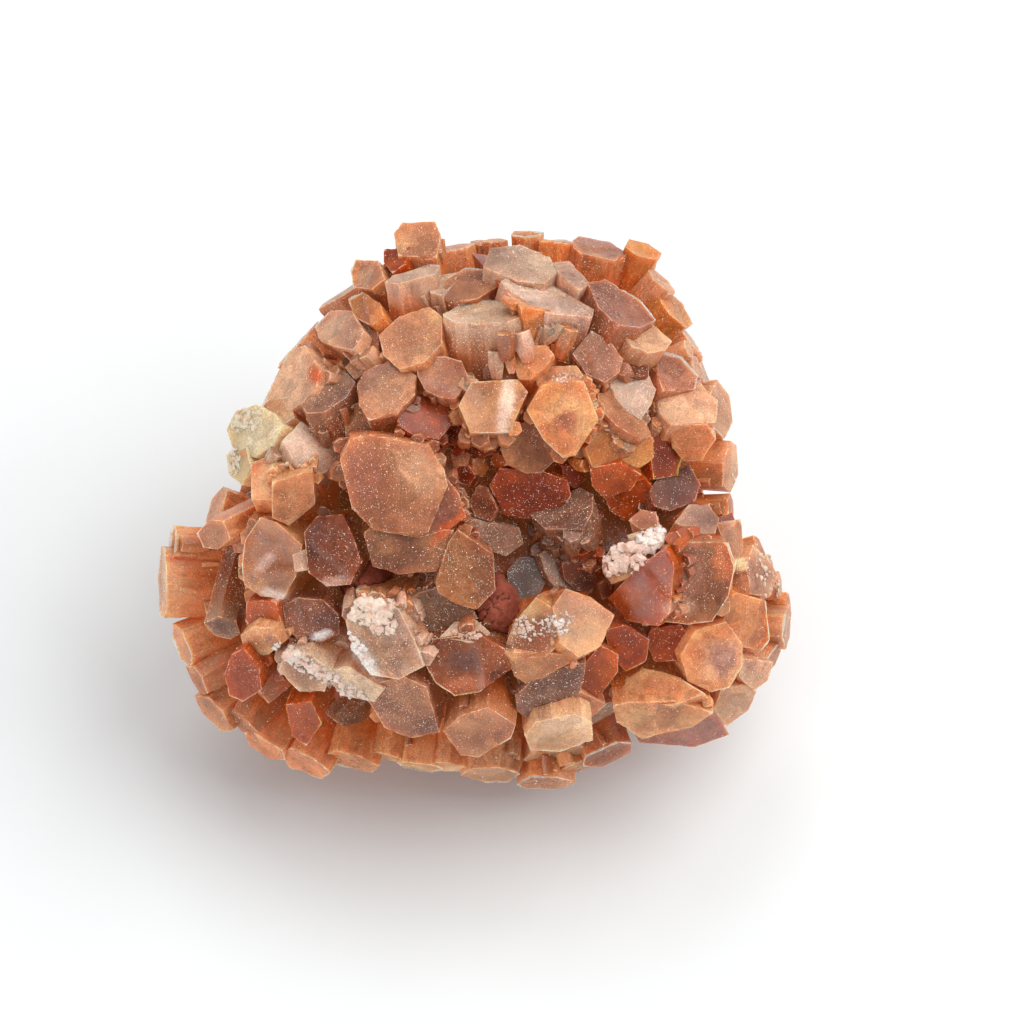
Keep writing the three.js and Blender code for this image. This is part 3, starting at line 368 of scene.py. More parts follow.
def walk(polygon, step):
    """Points round a polygon, its corners among them, and the wall's outward direction at each."""
    points, normals = [], []
    edges = np.roll(polygon, -1, 0) - polygon
    outward = np.stack([edges[:, 1], -edges[:, 0]], 1) / np.hypot(*edges.T)[:, None]
    for i, (start, edge) in enumerate(zip(polygon, edges)):
        pieces = max(1, round(np.hypot(*edge) / step))
        corner = outward[i] + outward[i - 1]
        corner = corner / max(0.6, corner @ outward[i])
        points += [start + edge * k / pieces for k in range(pieces)]
        normals += [corner] + [outward[i]] * (pieces - 1)
    return np.array(points), np.array(normals)


FRONT_FINE, BACK_FINE = 0.46, 0.68  # spacing of the points on the front crystals and the hidden ones
DEPTHS = [0, 0.14, 0.42, 0.85, 1.4, 2.1, 3, 4.2, 5.6, 7.4, 9.6, 12.4]  # rings of points down the walls
LEFT_OUT = (2, 4)  # those of the rings that a hidden crystal does without
BEVEL, BEVEL_SWAY = 0.05, 0.03  # the worn rim of a cap
CHIP, NICK, CHIP_LIMIT = 0.7, 0.2, 0.2  # breaks in it; at most this share of the way to the middle
DISH, SWELL, ROUGH = (-0.16, 0.12), 0.1, 0.03  # how a cap's middle, its sways and its grain stand
STEPPED, STEP, STEP_RUN = 1.6, (0.08, 0.24), 0.3  # radius from which caps have steps, their height and slope
FLUTE, SCORE = 0.04, 0.015  # striations of the walls
SLOT, SLOT_WIDTH = (0.03, 0.2), 0.28  # the deeper grooves between columns
LEDGES, LEDGE, LEDGE_DEPTH = 4, (0.02, 0.1), (0.4, 9)  # ledges round the walls: height, and how far down


def cap_mesh(c, ring, normals, worn, key, rng):
    """A cap's points across and along the crystal, its triangles, and which points are the ring's."""
    count = len(ring)
    top = ring - normals * worn[:, None] * 0.8
    span = np.abs(c.flat).max() + c.fine
    grid = np.arange(-span, span, c.fine)
    gx, gy = np.meshgrid(grid, grid)
    gx = gx + (np.arange(len(grid)) % 2)[:, None] * c.fine * 0.5
    inner = np.stack([gx.ravel(), gy.ravel()], 1)
    inner += rng.uniform(-0.2, 0.2, inner.shape) * c.fine
    inner = inner[inside(inner, top)]
    inner = inner[rim_distance(inner, top) > c.fine * 0.55]
    flat = [Vector(p) for p in (*top, *inner)]
    places, _, triangles, origin, _, _ = delaunay_2d_cdt(flat, [], [list(range(count))], 1, 1e-6, True)
    places = np.array([list(p) for p in places])
    origin = np.array([o[0] if o else -1 for o in origin])
    rim = (origin >= 0) & (origin < count)
    spot = np.pad(places, ((0, 0), (0, 1))) + key
    share = np.hypot(*places.T) / max(c.size, 0.1)
    lift = rng.uniform(*DISH) * (1 - np.clip(share, 0, 1) ** 2) + SWELL * noise(spot, 0.25, 2)
    grain = fractal(spot, 0.7, 3) + noise(spot, 2.4, 9)
    lift += ROUGH * grain * np.clip(rim_distance(places, c.flat) / 0.7, 0, 1)
    turn = rng.uniform(0, 2 * math.pi)
    run = places @ [math.cos(turn), math.sin(turn)] + 0.35 * noise(spot, 0.5, 17)
    for _ in range(rng.integers(0, 3) if c.size > STEPPED else 0):
        where = rng.uniform(-0.7, 0.8) * c.size
        lift -= rng.uniform(*STEP) * np.clip((run - where) / STEP_RUN, 0, 1)
    lift = np.where(rim, np.minimum(lift, 0) * 0.7 - 0.01, lift)
    triangles = np.array([f for f in triangles if len(f) == 3])
    triangles = triangles[inside(places[triangles].mean(1), top)]
    return places, lift, triangles.tolist(), np.flatnonzero(rim)[origin[rim].argsort()]


def crystal_mesh(c, number):
    """Vertices (face frame) and faces of a worn crystal."""
    rng = np.random.default_rng(1000 + number)
    ring, normals = walk(c.flat, c.fine)
    count = len(ring)
    along = np.append(0, np.cumsum(np.hypot(*np.diff(ring, axis=0).T)))
    key = rng.uniform(0, 900, 3)
    spot = np.outer(along, [1, 0, 0]) + key
    bevel = BEVEL + BEVEL_SWAY * noise(spot, 0.8)
    chips = CHIP * np.clip(noise(spot + 50, 0.5) - 0.4, 0, 1) + NICK * np.clip(noise(spot, 1.9, 5), 0, 1)
    worn = bevel + np.minimum(chips, CHIP_LIMIT * rim_distance(np.zeros((1, 2)), c.flat))
    places, lift, faces, previous = cap_mesh(c, ring, normals, worn, key, rng)

    # The walls: striated along the axis, with faint growth ledges across it.
    flute = FLUTE * noise(spot * [1.15, 1, 1], 1, 21) + SCORE * noise(spot * [2.4, 1, 1], 1, 22)
    for _ in range(rng.integers(0, 3)):
        at = rng.uniform(0, along[-1])
        flute -= rng.uniform(*SLOT) * np.exp(-(((along - at) / SLOT_WIDTH) ** 2))
    ledges = rng.uniform(*LEDGE, LEDGES) * rng.choice([-1, 1], LEDGES, p=[0.35, 0.65])
    ledge_at = rng.uniform(*LEDGE_DEPTH, LEDGES)
    ledge_at.sort()
    depths = [d for d in DEPTHS if d < c.length - 0.5] + [c.length]
    if c.fine > FRONT_FINE:
        depths = [d for i, d in enumerate(depths) if i not in LEFT_OUT]
    vertices, start = [c.out(places, lift)], len(places)
    for depth in depths:
        sway = noise(np.stack([along * 0.9, np.full(count, depth * 0.35), along * 0], 1) + key, 1, 30)
        grow = flute + 0.05 * sway + ledges @ (depth > ledge_at)
        wall = ring + normals * (grow * min(1, depth / 0.5) - 0.03)[:, None]
        vertices.append(c.out(wall, -depth - worn * max(0, 1 - depth)))
        current = start + np.arange(count)
        faces += np.stack([previous, current, np.roll(current, -1), np.roll(previous, -1)], 1).tolist()
        previous, start = current, start + count
    faces.append(previous[::-1].tolist())
    return np.concatenate(vertices), faces


def rows_of(table):
    """Each row's tone and numbers."""
    for row in table.strip().split("\n"):
        tone, *numbers = row.replace(" :", "").replace(",", " ").split()
        yield tone, [float(n) for n in numbers]


def capped_crystals():
    for tone, (heading, lean, proud, *pairs) in rows_of(CAPPED):
        axis, outline = axis_to(heading, lean), np.reshape(pairs, (-1, 2))
        x, y = outline.T
        if (x * np.roll(y, -1) - y * np.roll(x, -1)).sum() < 0:
            outline = outline[::-1]
        at = outline.mean(0)
        height = dome_height(*at) + proud - ((outline - at) @ axis[:2]) / axis[2]
        yield Crystal(tone, np.concatenate([outline, height[:, None]], 1), axis, FRONT_LENGTH, FRONT_FINE)


def prism(tone, tip, axis, radius, stretch, turn, length, fine):
    across = unit(np.array([-axis[1], axis[0], 0]))
    other = np.cross(axis, across)
    corners = []
    for side in range(6):
        angle = math.radians(turn + 60 * side + between(-CORNER_TURN, CORNER_TURN))
        reach = radius * between(*CORNER_REACH)
        corners.append(tip + reach * (across * stretch * math.cos(angle) + other * math.sin(angle)))
    return Crystal(tone, np.array(corners), axis, length, fine)


def side_crystals():
    for tone, (u, v, w, heading, lean, radius, stretch, turn) in rows_of(SIDE_ON):
        tip, axis = np.array([u, v, w]), axis_to(heading, lean)
        yield prism(tone, tip, axis, radius, stretch, turn, SIDE_LENGTH, FRONT_FINE)


BACK_TONES = "peach rose amber blush mauve apricot cream rust peach rose smoke amber pearl".split()


def back_crystals():
    for i in range(BACK_COUNT):
        out = 1 - (2 * i + 1) / BACK_COUNT
        if out > HIDDEN_FROM:
            continue
        turn = i * math.pi * (3 - math.sqrt(5))
        around = math.sqrt(1 - out * out)
        away = np.array([around * math.cos(turn), around * math.sin(turn), out])
        spread = between(*SHELL_SPREAD)
        reach = spread * outline_reach(away[0], away[1])
        tip = away * np.array([reach, reach, spread * SHELL_DEPTH]) + HEART
        axis = unit(tip - HEART + np.array([between(-AXIS_MISS, AXIS_MISS) for _ in "uvw"]))
        radius = between(*(RIM_RADIUS if out > FAR_FROM else FAR_RADIUS))
        stretch = between(*HIDDEN_STRETCH)
        twist = between(0, 60)
        low, high = to_part([tip, HEART])[:, 2]
        if low < CLEAR_OF_GROUND:
            tip = tip + (HEART - tip) * (CLEAR_OF_GROUND - low) / (high - low)
        tone = BACK_TONES[(i * 5) % len(BACK_TONES)]
        yield prism(tone, tip, axis, radius, stretch, twist, BACK_LENGTH, BACK_FINE)


def foot_crystals():
    length = to_part(HEART)[2]
    for k, (x, y, radius) in enumerate(FEET):
        tip = to_face([x, y, -FOOT_DEPTH])
        twist = between(0, 60)
        tone = BACK_TONES[(k * 3) % len(BACK_TONES)]
        yield prism(tone, tip, unit(tip - HEART), radius, 1, twist, length, BACK_FINE)


def ready_shape(make, **keys):
    """Points and faces of one of bmesh's own shapes."""
    work = bmesh.new()
    make(work, **keys)
    points = np.array([v.co[:] for v in work.verts])
    faces = [[v.index for v in f.verts] for f in work.faces]
    work.free()
    return points, faces


def core_mesh():
    """The intergrown mass, lumpy with small crystals."""
    places, faces = ready_shape(bmesh.ops.create_icosphere, subdivisions=6, radius=1)
    x, y, z = places.T
    reach = CORE_SPREAD * outline_reach(x, y)
    u, v = HEART[0] + x * reach, HEART[1] + y * reach
    away = np.hypot(u - HOLLOW_U, v - HOLLOW_V) / HOLLOW_REACH
    dip = np.where(z > 0, HOLLOW_DEPTH * np.exp(-away * away), 0)
    w = HEART[2] + z * np.where(z > 0, CORE_DEPTH, CORE_BACK_DEPTH) - dip
    points = np.stack([u, v, w], 1)
    return points + places * (CORE_LUMPS * fractal(points, 0.45, 5))[:, None], faces


# ---- meshes


def mesh_object(name, points, faces, link=True):
    """A Blender object from points of the face frame."""
    mesh = bpy.data.meshes.new(name)
    mesh.from_pydata((to_part(points) * MM).tolist(), [], faces)
    mesh.update()
    made = bpy.data.objects.new(name, mesh)
    if link:
        bpy.context.scene.collection.objects.link(made)
    return made


def read(items, field, width, kind=np.float32):
    """One field of all of a mesh's vertices, faces or the like."""
    values = np.empty(len(items) * width, kind)
    items.foreach_get(field, values)
    return values.reshape(-1, width) if width > 1 else values


def points_of(mesh):
    return to_face(read(mesh.vertices, "co", 3) / MM)


def set_attribute(mesh, name, kind, domain, values):
    attribute = mesh.attributes.new(name, kind, domain)
    field = {"FLOAT_VECTOR": "vector", "FLOAT_COLOR": "color"}.get(kind, "value")
    dtype = np.int32 if kind == "INT" else np.float32
    attribute.data.foreach_set(field, np.ascontiguousarray(values, dtype).ravel())


def evaluated(piece):
    """The piece's mesh with its modifiers applied, which it then wears without them."""
    graph = bpy.context.evaluated_depsgraph_get()
    mesh = bpy.data.meshes.new_from_object(piece.evaluated_get(graph))
    piece.modifiers.clear()
    piece.data = mesh
    return mesh


def boolean(piece, operation, **operand):
    modifier = piece.modifiers.new("join", "BOOLEAN")
    modifier.operation, modifier.solver = operation, "MANIFOLD"
    for key, value in operand.items():
        setattr(modifier, key, value)


def drop_all(objects, collection):
    for one in list(objects):
        bpy.data.objects.remove(one)
    bpy.data.collections.remove(collection)


def keep_outer_body(mesh):
    """Keeps a mesh's largest connected body."""
    a, b = read(mesh.edges, "vertices", 2, np.int32).T
    label, before = np.arange(len(mesh.vertices)), None
    while before is None or (before != label).any():
        before, low = label, np.minimum(label[a], label[b])
        label = label.copy()
        np.minimum.at(label, a, low)
        np.minimum.at(label, b, low)
        label = label[label]
    names, sizes = np.unique(label, return_counts=True)
    work = bmesh.new()
    work.from_mesh(mesh)
    work.verts.ensure_lookup_table()
    stray = [work.verts[i] for i in np.flatnonzero(label != names[sizes.argmax()])]
    bmesh.ops.delete(work, geom=stray, context="VERTS")
    work.to_mesh(mesh)
    work.free()

# ---- the crystals, grown together

crystals = [*capped_crystals(), *side_crystals(), *back_crystals(), *foot_crystals()]
parts = bpy.data.collections.new("parts")
for number, c in enumerate(crystals):
    points, faces = crystal_mesh(c, number)
    one = mesh_object(f"crystal_{number}", points, faces, link=False)
    set_attribute(one.data, "crystal", "INT", "FACE", np.full(len(faces), number + 1))
    parts.objects.link(one)
points, faces = core_mesh()
cluster = mesh_object("crystals", points, faces)
set_attribute(cluster.data, "crystal", "INT", "FACE", np.zeros(len(faces)))
GROUND_SIZE = 0.2  # metres
points, faces = ready_shape(bmesh.ops.create_cube, size=GROUND_SIZE)
points[:, 2] -= points[:, 2].max()
ground = bpy.data.objects.new("ground", bpy.data.meshes.new("ground"))
ground.data.from_pydata(points.tolist(), [], faces)
bpy.context.scene.collection.objects.link(ground)
bpy.context.scene.collection.children.link(parts)
boolean(cluster, "UNION", operand_type="COLLECTION", collection=parts)
boolean(cluster, "DIFFERENCE", operand_type="OBJECT", object=ground)
body = evaluated(cluster)
drop_all([*parts.objects, ground], parts)
keep_outer_body(body)

# ---- tones

# Each tone: cap, lighter cloud in the cap, wall (sRGB), and how much glitter (grains on the body and painted
# glint specks in its colour) and dark pepper it carries.
TONES = {
    "peach": [(186, 121, 82), (216, 158, 109), (206, 95, 32), 0.5, 0.1],
    "rust": [(158, 64, 18), (190, 90, 28), (152, 52, 12), 0.5, 0.3],
    "pearl": [(184, 146, 124), (212, 177, 149), (188, 98, 45), 0.7, 0.9],
    "mauve": [(144, 90, 64), (178, 120, 82), (164, 74, 28), 0.7, 0.15],
    "blush": [(190, 135, 102), (220, 172, 133), (200, 108, 50), 0.6, 0.15],
    "rose": [(168, 106, 74), (198, 138, 97), (180, 79, 27), 0.6, 0.1],
    "apricot": [(214, 137, 90), (238, 180, 129), (214, 103, 42), 0.35, 0.05],
    "cream": [(194, 143, 103), (224, 184, 150), (204, 124, 68), 0.4, 0.1],
    "smoke": [(140, 98, 78), (166, 122, 96), (134, 66, 32), 1.2, 0.4],
    "umber": [(118, 60, 34), (150, 84, 50), (122, 50, 20), 0.55, 0.2],
    "amber": [(196, 116, 60), (222, 150, 86), (202, 92, 26), 0.45, 0.1],
    "coal": [(98, 61, 44), (126, 89, 70), (90, 43, 22), 1.6, 0.1],
    "straw": [(216, 148, 100), (240, 188, 138), (222, 124, 64), 0.4, 0.1],
    "ivory": [(218, 187, 138), (238, 215, 180), (212, 165, 104), 0.4, 0.15],
    "chalk": [(200, 156, 128), (230, 199, 176), (184, 108, 65), 0.8, 0.3],
    "white": [(222, 187, 161), (240, 215, 192), (206, 146, 100), 0.4, 0.1],
    "crust": [(166, 89, 46), (230, 186, 134), (150, 67, 27), 1.2, 0.3],
    "root": [(146, 60, 21), (174, 86, 36), (136, 49, 13), 0.8, 0.3],
}

# Stains, clouds and painted light in the face (painted glows, pale bands of internal reflection and a white
# glint), each an oval: middle u v, half sizes, turn, colour (sRGB) and strength.
MARKS = [
    (-0.6, 10.6, 0.9, 3.4, -8, (246, 210, 188), 0.9),
    (-3.6, 11.4, 1.6, 1.5, 0, (172, 116, 94), 0.5),
    (5.5, 9, 1.4, 1.3, 20, (184, 104, 76), 0.8),
    (3.4, 11.4, 2.2, 1.4, 40, (244, 164, 98), 0.5),
    (-14.6, 3.6, 2.4, 2.8, 0, (166, 100, 78), 0.7),
    (-9, 4, 2.8, 2.2, -20, (224, 168, 130), 0.8),
    (-7, -0.4, 1.6, 1.2, 40, (146, 84, 66), 0.6),
    (-6.2, -1.6, 2.6, 0.6, 38, (208, 92, 36), 0.8),
    (21.1, -14.7, 2.5, 2.7, 0, (240, 186, 148), 0.7),
    (21.1, -14.7, 1.7, 2, 0, (190, 130, 108), 1),
    (21.3, -14.5, 0.8, 1, 0, (216, 162, 140), 0.7),
    (18, -6, 1.5, 3.6, -8, (162, 106, 84), 0.8),
    (20.9, -4.8, 1.2, 2.2, 0, (214, 126, 80), 0.7),
    (16.4, -9.4, 2, 0.9, 0, (228, 172, 140), 0.6),
    (11, -8.6, 1.8, 1.6, 0, (172, 78, 30), 0.8),
    (-33, -3.2, 2.6, 0.9, 0, (150, 78, 46), 0.6),
    (-33, -4.8, 2.4, 0.35, 0, (210, 98, 62), 0.7),
    (-19.6, 13.6, 0.9, 1, 0, (206, 96, 32), 1),
    (-27, 5.7, 0.6, 0.4, 0, (228, 138, 66), 1),
    (22.7, -5.2, 0.8, 0.7, 0, (254, 230, 190), 1),
    # Painted highlight: a white glint on a dark crystal.
    (-18.9, -12.2, 1.2, 0.4, 20, (250, 244, 240), 1),
    (-25.2, 8.7, 1.5, 1.3, 0, (232, 206, 166), 0.7),
    (-24.6, -5, 1.5, 0.6, 45, (226, 186, 172), 0.6),
    (-23.4, -8.2, 1.9, 0.6, -10, (240, 212, 196), 0.8),
    (-17.8, -7, 2, 0.6, 10, (220, 184, 168), 0.6),
    (-14.7, -14.6, 2.8, 0.9, -50, (248, 234, 224), 0.9),
    (-11.2, -11.8, 1.7, 1.5, 0, (172, 136, 118), 0.6),
    (-4.9, -14.7, 2.3, 1.3, 0, (116, 78, 70), 0.8),
    (-4.4, -17, 2.8, 0.9, 0, (204, 124, 86), 0.6),
    (1.6, 21.6, 2.6, 0.7, 0, (240, 204, 184), 0.6),
    (-18.6, -10.6, 1.6, 1, 0, (112, 70, 62), 0.6),
]


def linear(rgb):
    c = np.asarray(rgb, float) / 255
    return np.where(c <= 0.04045, c / 12.92, ((c + 0.055) / 1.055) ** 2.4)


def colour(rgb):
    return (*linear(rgb), 1)


def turned(x, y, degrees):
    c, s = math.cos(math.radians(degrees)), math.sin(math.radians(degrees))
    return c * x - s * y, s * x + c * y


def smooth(low, high, x):
    t = np.clip((x - low) / (high - low), 0, 1)
    return t * t * (3 - 2 * t)


def blend(a, b, share):
    return a + (b - a) * np.reshape(share, (-1, 1))


DEEPER = np.array([0.66, 0.52, 0.46])  # what a darker zone keeps of a cap's colour
# At the root a wall is darker and redder: partly rust, partly painted shade of the clefts.
ROOT_RUST_AND_SHADE = np.array([0.55, 0.29, 0.14])  # what a wall keeps of its colour at the root
DRIPS = (124, 42, 12)  # rust that ran down the walls


def cap_colours(place, rim, size, core, cap, light, wall):
    """Cloudy caps: a veil, lighter clouds, a painted glow of light along the rim and the outline of a younger
    stage.
    """
    wide = noise(place, 0.16, 41) + 0.4 * noise(place, 0.5, 42)
    fine = noise(place, 0.45, 43) + 0.5 * noise(place, 1.1, 44)
    top = blend(cap, light, 0.9 * smooth(-0.05, 0.6, wide))
    top = blend(top, cap * DEEPER, 0.6 * smooth(0.05, 0.75, -wide))
    top = blend(top, light, 0.5 * smooth(0.15, 0.8, fine))
    top = blend(top, top * DEEPER, 0.4 * smooth(0.2, 0.8, noise(place, 0.6, 40) - 0.3 * fine))
    top = blend(top, top * DEEPER, 0.6 * core * smooth(0.24, 0.5, rim / size + 0.08 * fine))
    # Painted light: the cap is lighter and warmer along its rim, as if lit through its edges.
    glow = np.exp(-((rim / 0.45) ** 2)) * smooth(-0.6, 0.4, noise(place, 0.3, 45))
    return blend(top, 0.6 * light + 0.4 * wall, 0.5 * glow)


def wall_colours(place, depth, cap, light, wall):
    """Walls lighter below the rim, a painted glow of light come through the crystal, and darker and redder
    towards the root, partly rust and partly painted shade of the clefts; the second colour is the streaks'.
    """
    glow_below_rim = 1 - smooth(0.2, 3.5, depth)
    # Painted light: just below the rim the wall takes the cap's lighter colours, as if lit through the
    # crystal.
    side = blend(0.4 * cap + 0.4 * light + 0.2 * wall, wall, smooth(0.2, 3.6, depth))
    side = blend(side, 0.5 * (cap + light), 0.6 * smooth(0, 0.7, noise(place * [1, 1, 0.3], 0.4, 46)))
    drips = smooth(0.25, 0.8, noise(place * [1, 1, 0.35], 0.5, 47) + 0.08 * (depth - 3))
    side = blend(side, linear(DRIPS)[None], 0.6 * drips)
    # Darker and redder towards the root: partly rust, partly painted shade of the clefts.
    rust_and_shade = smooth(2, 8, depth + 1.2 * noise(place, 0.5, 48))
    side = side * (1 + (ROOT_RUST_AND_SHADE - 1) * rust_and_shade[:, None])
    return side, blend(side, light, 0.15 + 0.4 * glow_below_rim)


def marked(spots, facing, main):
    """The colours with the marks laid over them, on what faces out."""
    for u, v, half_u, half_v, turn, rgb, strength in MARKS:
        x, y = spots[:, 0] - u, spots[:, 1] - v
        near = (np.abs(x) < 5) & (np.abs(y) < 5) & facing
        along, up = turned(x[near], y[near], -turn)
        reach = np.hypot(along / half_u, up / half_v)
        reach = reach + 0.22 * noise(spots[near], 0.9, 47) + 0.1 * noise(spots[near], 2.4, 48)
        main[near] = blend(main[near], linear(rgb)[None], strength * smooth(1.15, 0.5, reach))
    return main


# ---- what each face knows of its crystal


def corner_faces(mesh):
    return np.repeat(np.arange(len(mesh.polygons)), read(mesh.polygons, "loop_total", 1, np.int32))


def face_owners(mesh):
    return read(mesh.attributes["crystal"].data, "value", 1, np.int32)


CAP_FACES = 0.55  # a face whose normal agrees with the axis by this much belongs to the cap
CORE_DEPTH_DOWN = 5  # how far down the mass between the crystals counts as


def dress(mesh, grown, dice, spread):
    """Gives the mesh of grown crystals the attributes that the crystal material reads; their tones
    differ by up to spread steps of sRGB."""
    loop_face = corner_faces(mesh)
    mine = face_owners(mesh)[loop_face]  # 0 is the mass between the crystals
    spots = points_of(mesh)[read(mesh.loops, "vertex_index", 1, np.int32)]
    normals = (read(mesh.polygons, "normal", 3) @ FACE_TO_PART)[loop_face]
    sides = max(len(c.flat) for c in grown)
    frames = np.array([np.eye(3), *[[c.across, c.other, c.axis] for c in grown]])[mine]
    middles = np.array([np.zeros(3), *[c.middle for c in grown]])
    outlines = [np.pad(c.flat, ((0, sides - len(c.flat)), (0, 0)), "edge") for c in grown]
    outlines = np.array([np.ones((sides, 2)), *outlines])
    sizes = np.array([1, *[c.size for c in grown]])[mine]
    local = np.einsum("nij,nj->ni", frames, spots - middles[mine])
    flat = local[:, :2]
    capped = (mine > 0) & ((normals * frames[:, 2]).sum(1) > CAP_FACES)
    depth = np.where(capped, 0, np.maximum(0, -local[:, 2]))
    depth[mine == 0] = CORE_DEPTH_DOWN
    edges = [(outlines[mine, k], outlines[mine, (k + 1) % sides]) for k in range(sides)]
    rim = np.where(capped, np.min([edge_distance(flat, *edge) for edge in edges], 0), depth)

    count = len(grown) + 1
    shift = spread * (dice.uniform(-1, 1, (count, 1)) + 0.25 * dice.uniform(-1, 1, (count, 3)))
    away, chance = dice.uniform(-40, 40, (count, 3)), dice.uniform(0, 1, count)
    slope = dice.uniform(-1, 1, (count, 2))[mine]
    core = (0.9 * dice.uniform(0, 1, count) * (dice.uniform(0, 1, count) < 0.5))[mine]
    names = ["root", *[c.tone for c in grown]]
    table = np.array([TONES[name][:3] for name in names]) + shift[:, None]
    cap, light, wall = linear(np.clip(table, 0, 255))[mine].transpose(1, 0, 2)
    place = local + away[mine]
    top = cap_colours(place, rim, sizes, core, cap, light, wall)
    # Painted light: each cap is lighter towards one side and darker towards the other, as if light came in
    # from that side.
    top = top * (1 + 0.16 * np.clip((flat * slope).sum(1) / sizes, -1, 1))[:, None]
    patch = np.clip(0.75 + 1.1 * noise(spots, 0.4, 49) + 0.5 * noise(spots, 1.2, 50), 0.1, 2.4)
    glitter, pepper = patch * np.array([TONES[name][3:] for name in names])[mine].T
    for name, side in zip(("tint", "vein"), wall_colours(place, depth, cap, light, wall)):
        shown = marked(spots, normals[:, 2] > 0.15, np.where(capped[:, None], top, side))
        set_attribute(mesh, name, "FLOAT_COLOR", "CORNER", np.pad(shown, ((0, 0), (0, 1)), constant_values=1))
    set_attribute(mesh, "place", "FLOAT_VECTOR", "CORNER", place)
    set_attribute(mesh, "growth", "FLOAT_VECTOR", "CORNER", np.stack([depth, rim, chance[mine]], 1))
    set_attribute(mesh, "traits", "FLOAT_VECTOR", "CORNER", np.stack([glitter, pepper, 0 * patch], 1))
    mesh.set_sharp_from_angle(angle=math.radians(28))


dress(body, crystals, np.random.default_rng(77), spread=9)

# ---- materials

SUBSURFACE = "RANDOM_WALK"


class Shader:
    """A material, built one node at a time."""

    def __init__(self, name):
        self.material = bpy.data.materials.new(name)
        self.material.use_nodes = True
        self.tree = self.material.node_tree
        self.tree.nodes.clear()

    def made(self, kind, inputs=None, **settings):
        node = self.tree.nodes.new("ShaderNode" + kind)
        for key, value in settings.items():
            setattr(node, key, value)
        for key, value in (inputs or {}).items():
            if isinstance(value, bpy.types.NodeSocket):
                self.tree.links.new(value, node.inputs[key])
            else:
                node.inputs[key].default_value = value
        return node.outputs

    def node(self, kind, inputs=None, output=0, **settings):
        outputs = self.made(kind, inputs, **settings)
        return outputs[output] if outputs else None

    def attribute(self, name, output="Vector"):
        return self.node("Attribute", output=output, attribute_name=name)

    def split(self, vector):
        return self.made("SeparateXYZ", {0: vector})

    def math(self, operation, a, b=0.0, clamp=False):
        return self.node("Math", {0: a, 1: b}, operation=operation, use_clamp=clamp)

    def times(self, a, b):
        return self.math("MULTIPLY", a, b)

    def rest(self, a):
        return self.math("SUBTRACT", 1.0, a)

    def ramp(self, value, low, high, to_low=0.0, to_high=1.0):
        keys = {0: value, 1: low, 2: high, 3: to_low, 4: to_high}
        return self.node("MapRange", keys, interpolation_type="SMOOTHSTEP")

    def mix(self, share, a, b, blend="MIX"):
        return self.node("Mix", {0: share, 6: a, 7: b}, 2, data_type="RGBA", blend_type=blend)

    def shaded(self, base, value):
        """The colour times a grey."""
        return self.mix(1.0, base, self.node("CombineColor", {0: value, 1: value, 2: value}), "MULTIPLY")

    def vector(self, operation, a, b=(0, 0, 0), **keys):
        return self.node("VectorMath", {0: a, 1: b, **keys}, operation=operation)

    def noise(self, vector, scale, detail=3.0, rough=0.5):
        keys = {"Vector": vector, "Scale": scale, "Detail": detail, "Roughness": rough}
        return self.node("TexNoise", keys)

    def millimetres(self):
        return self.vector("MULTIPLY", self.node("TexCoord", output=3), (1000, 1000, 1000))

    def bump(self, height, strength, distance):
        return self.node("Bump", {"Strength": strength, "Distance": distance, "Height": height})

    def finish(self, keys, **settings):
        self.node("OutputMaterial", {0: self.node("BsdfPrincipled", keys, **settings)})
        self.material.cycles.emission_sampling = "NONE"
        return self.material


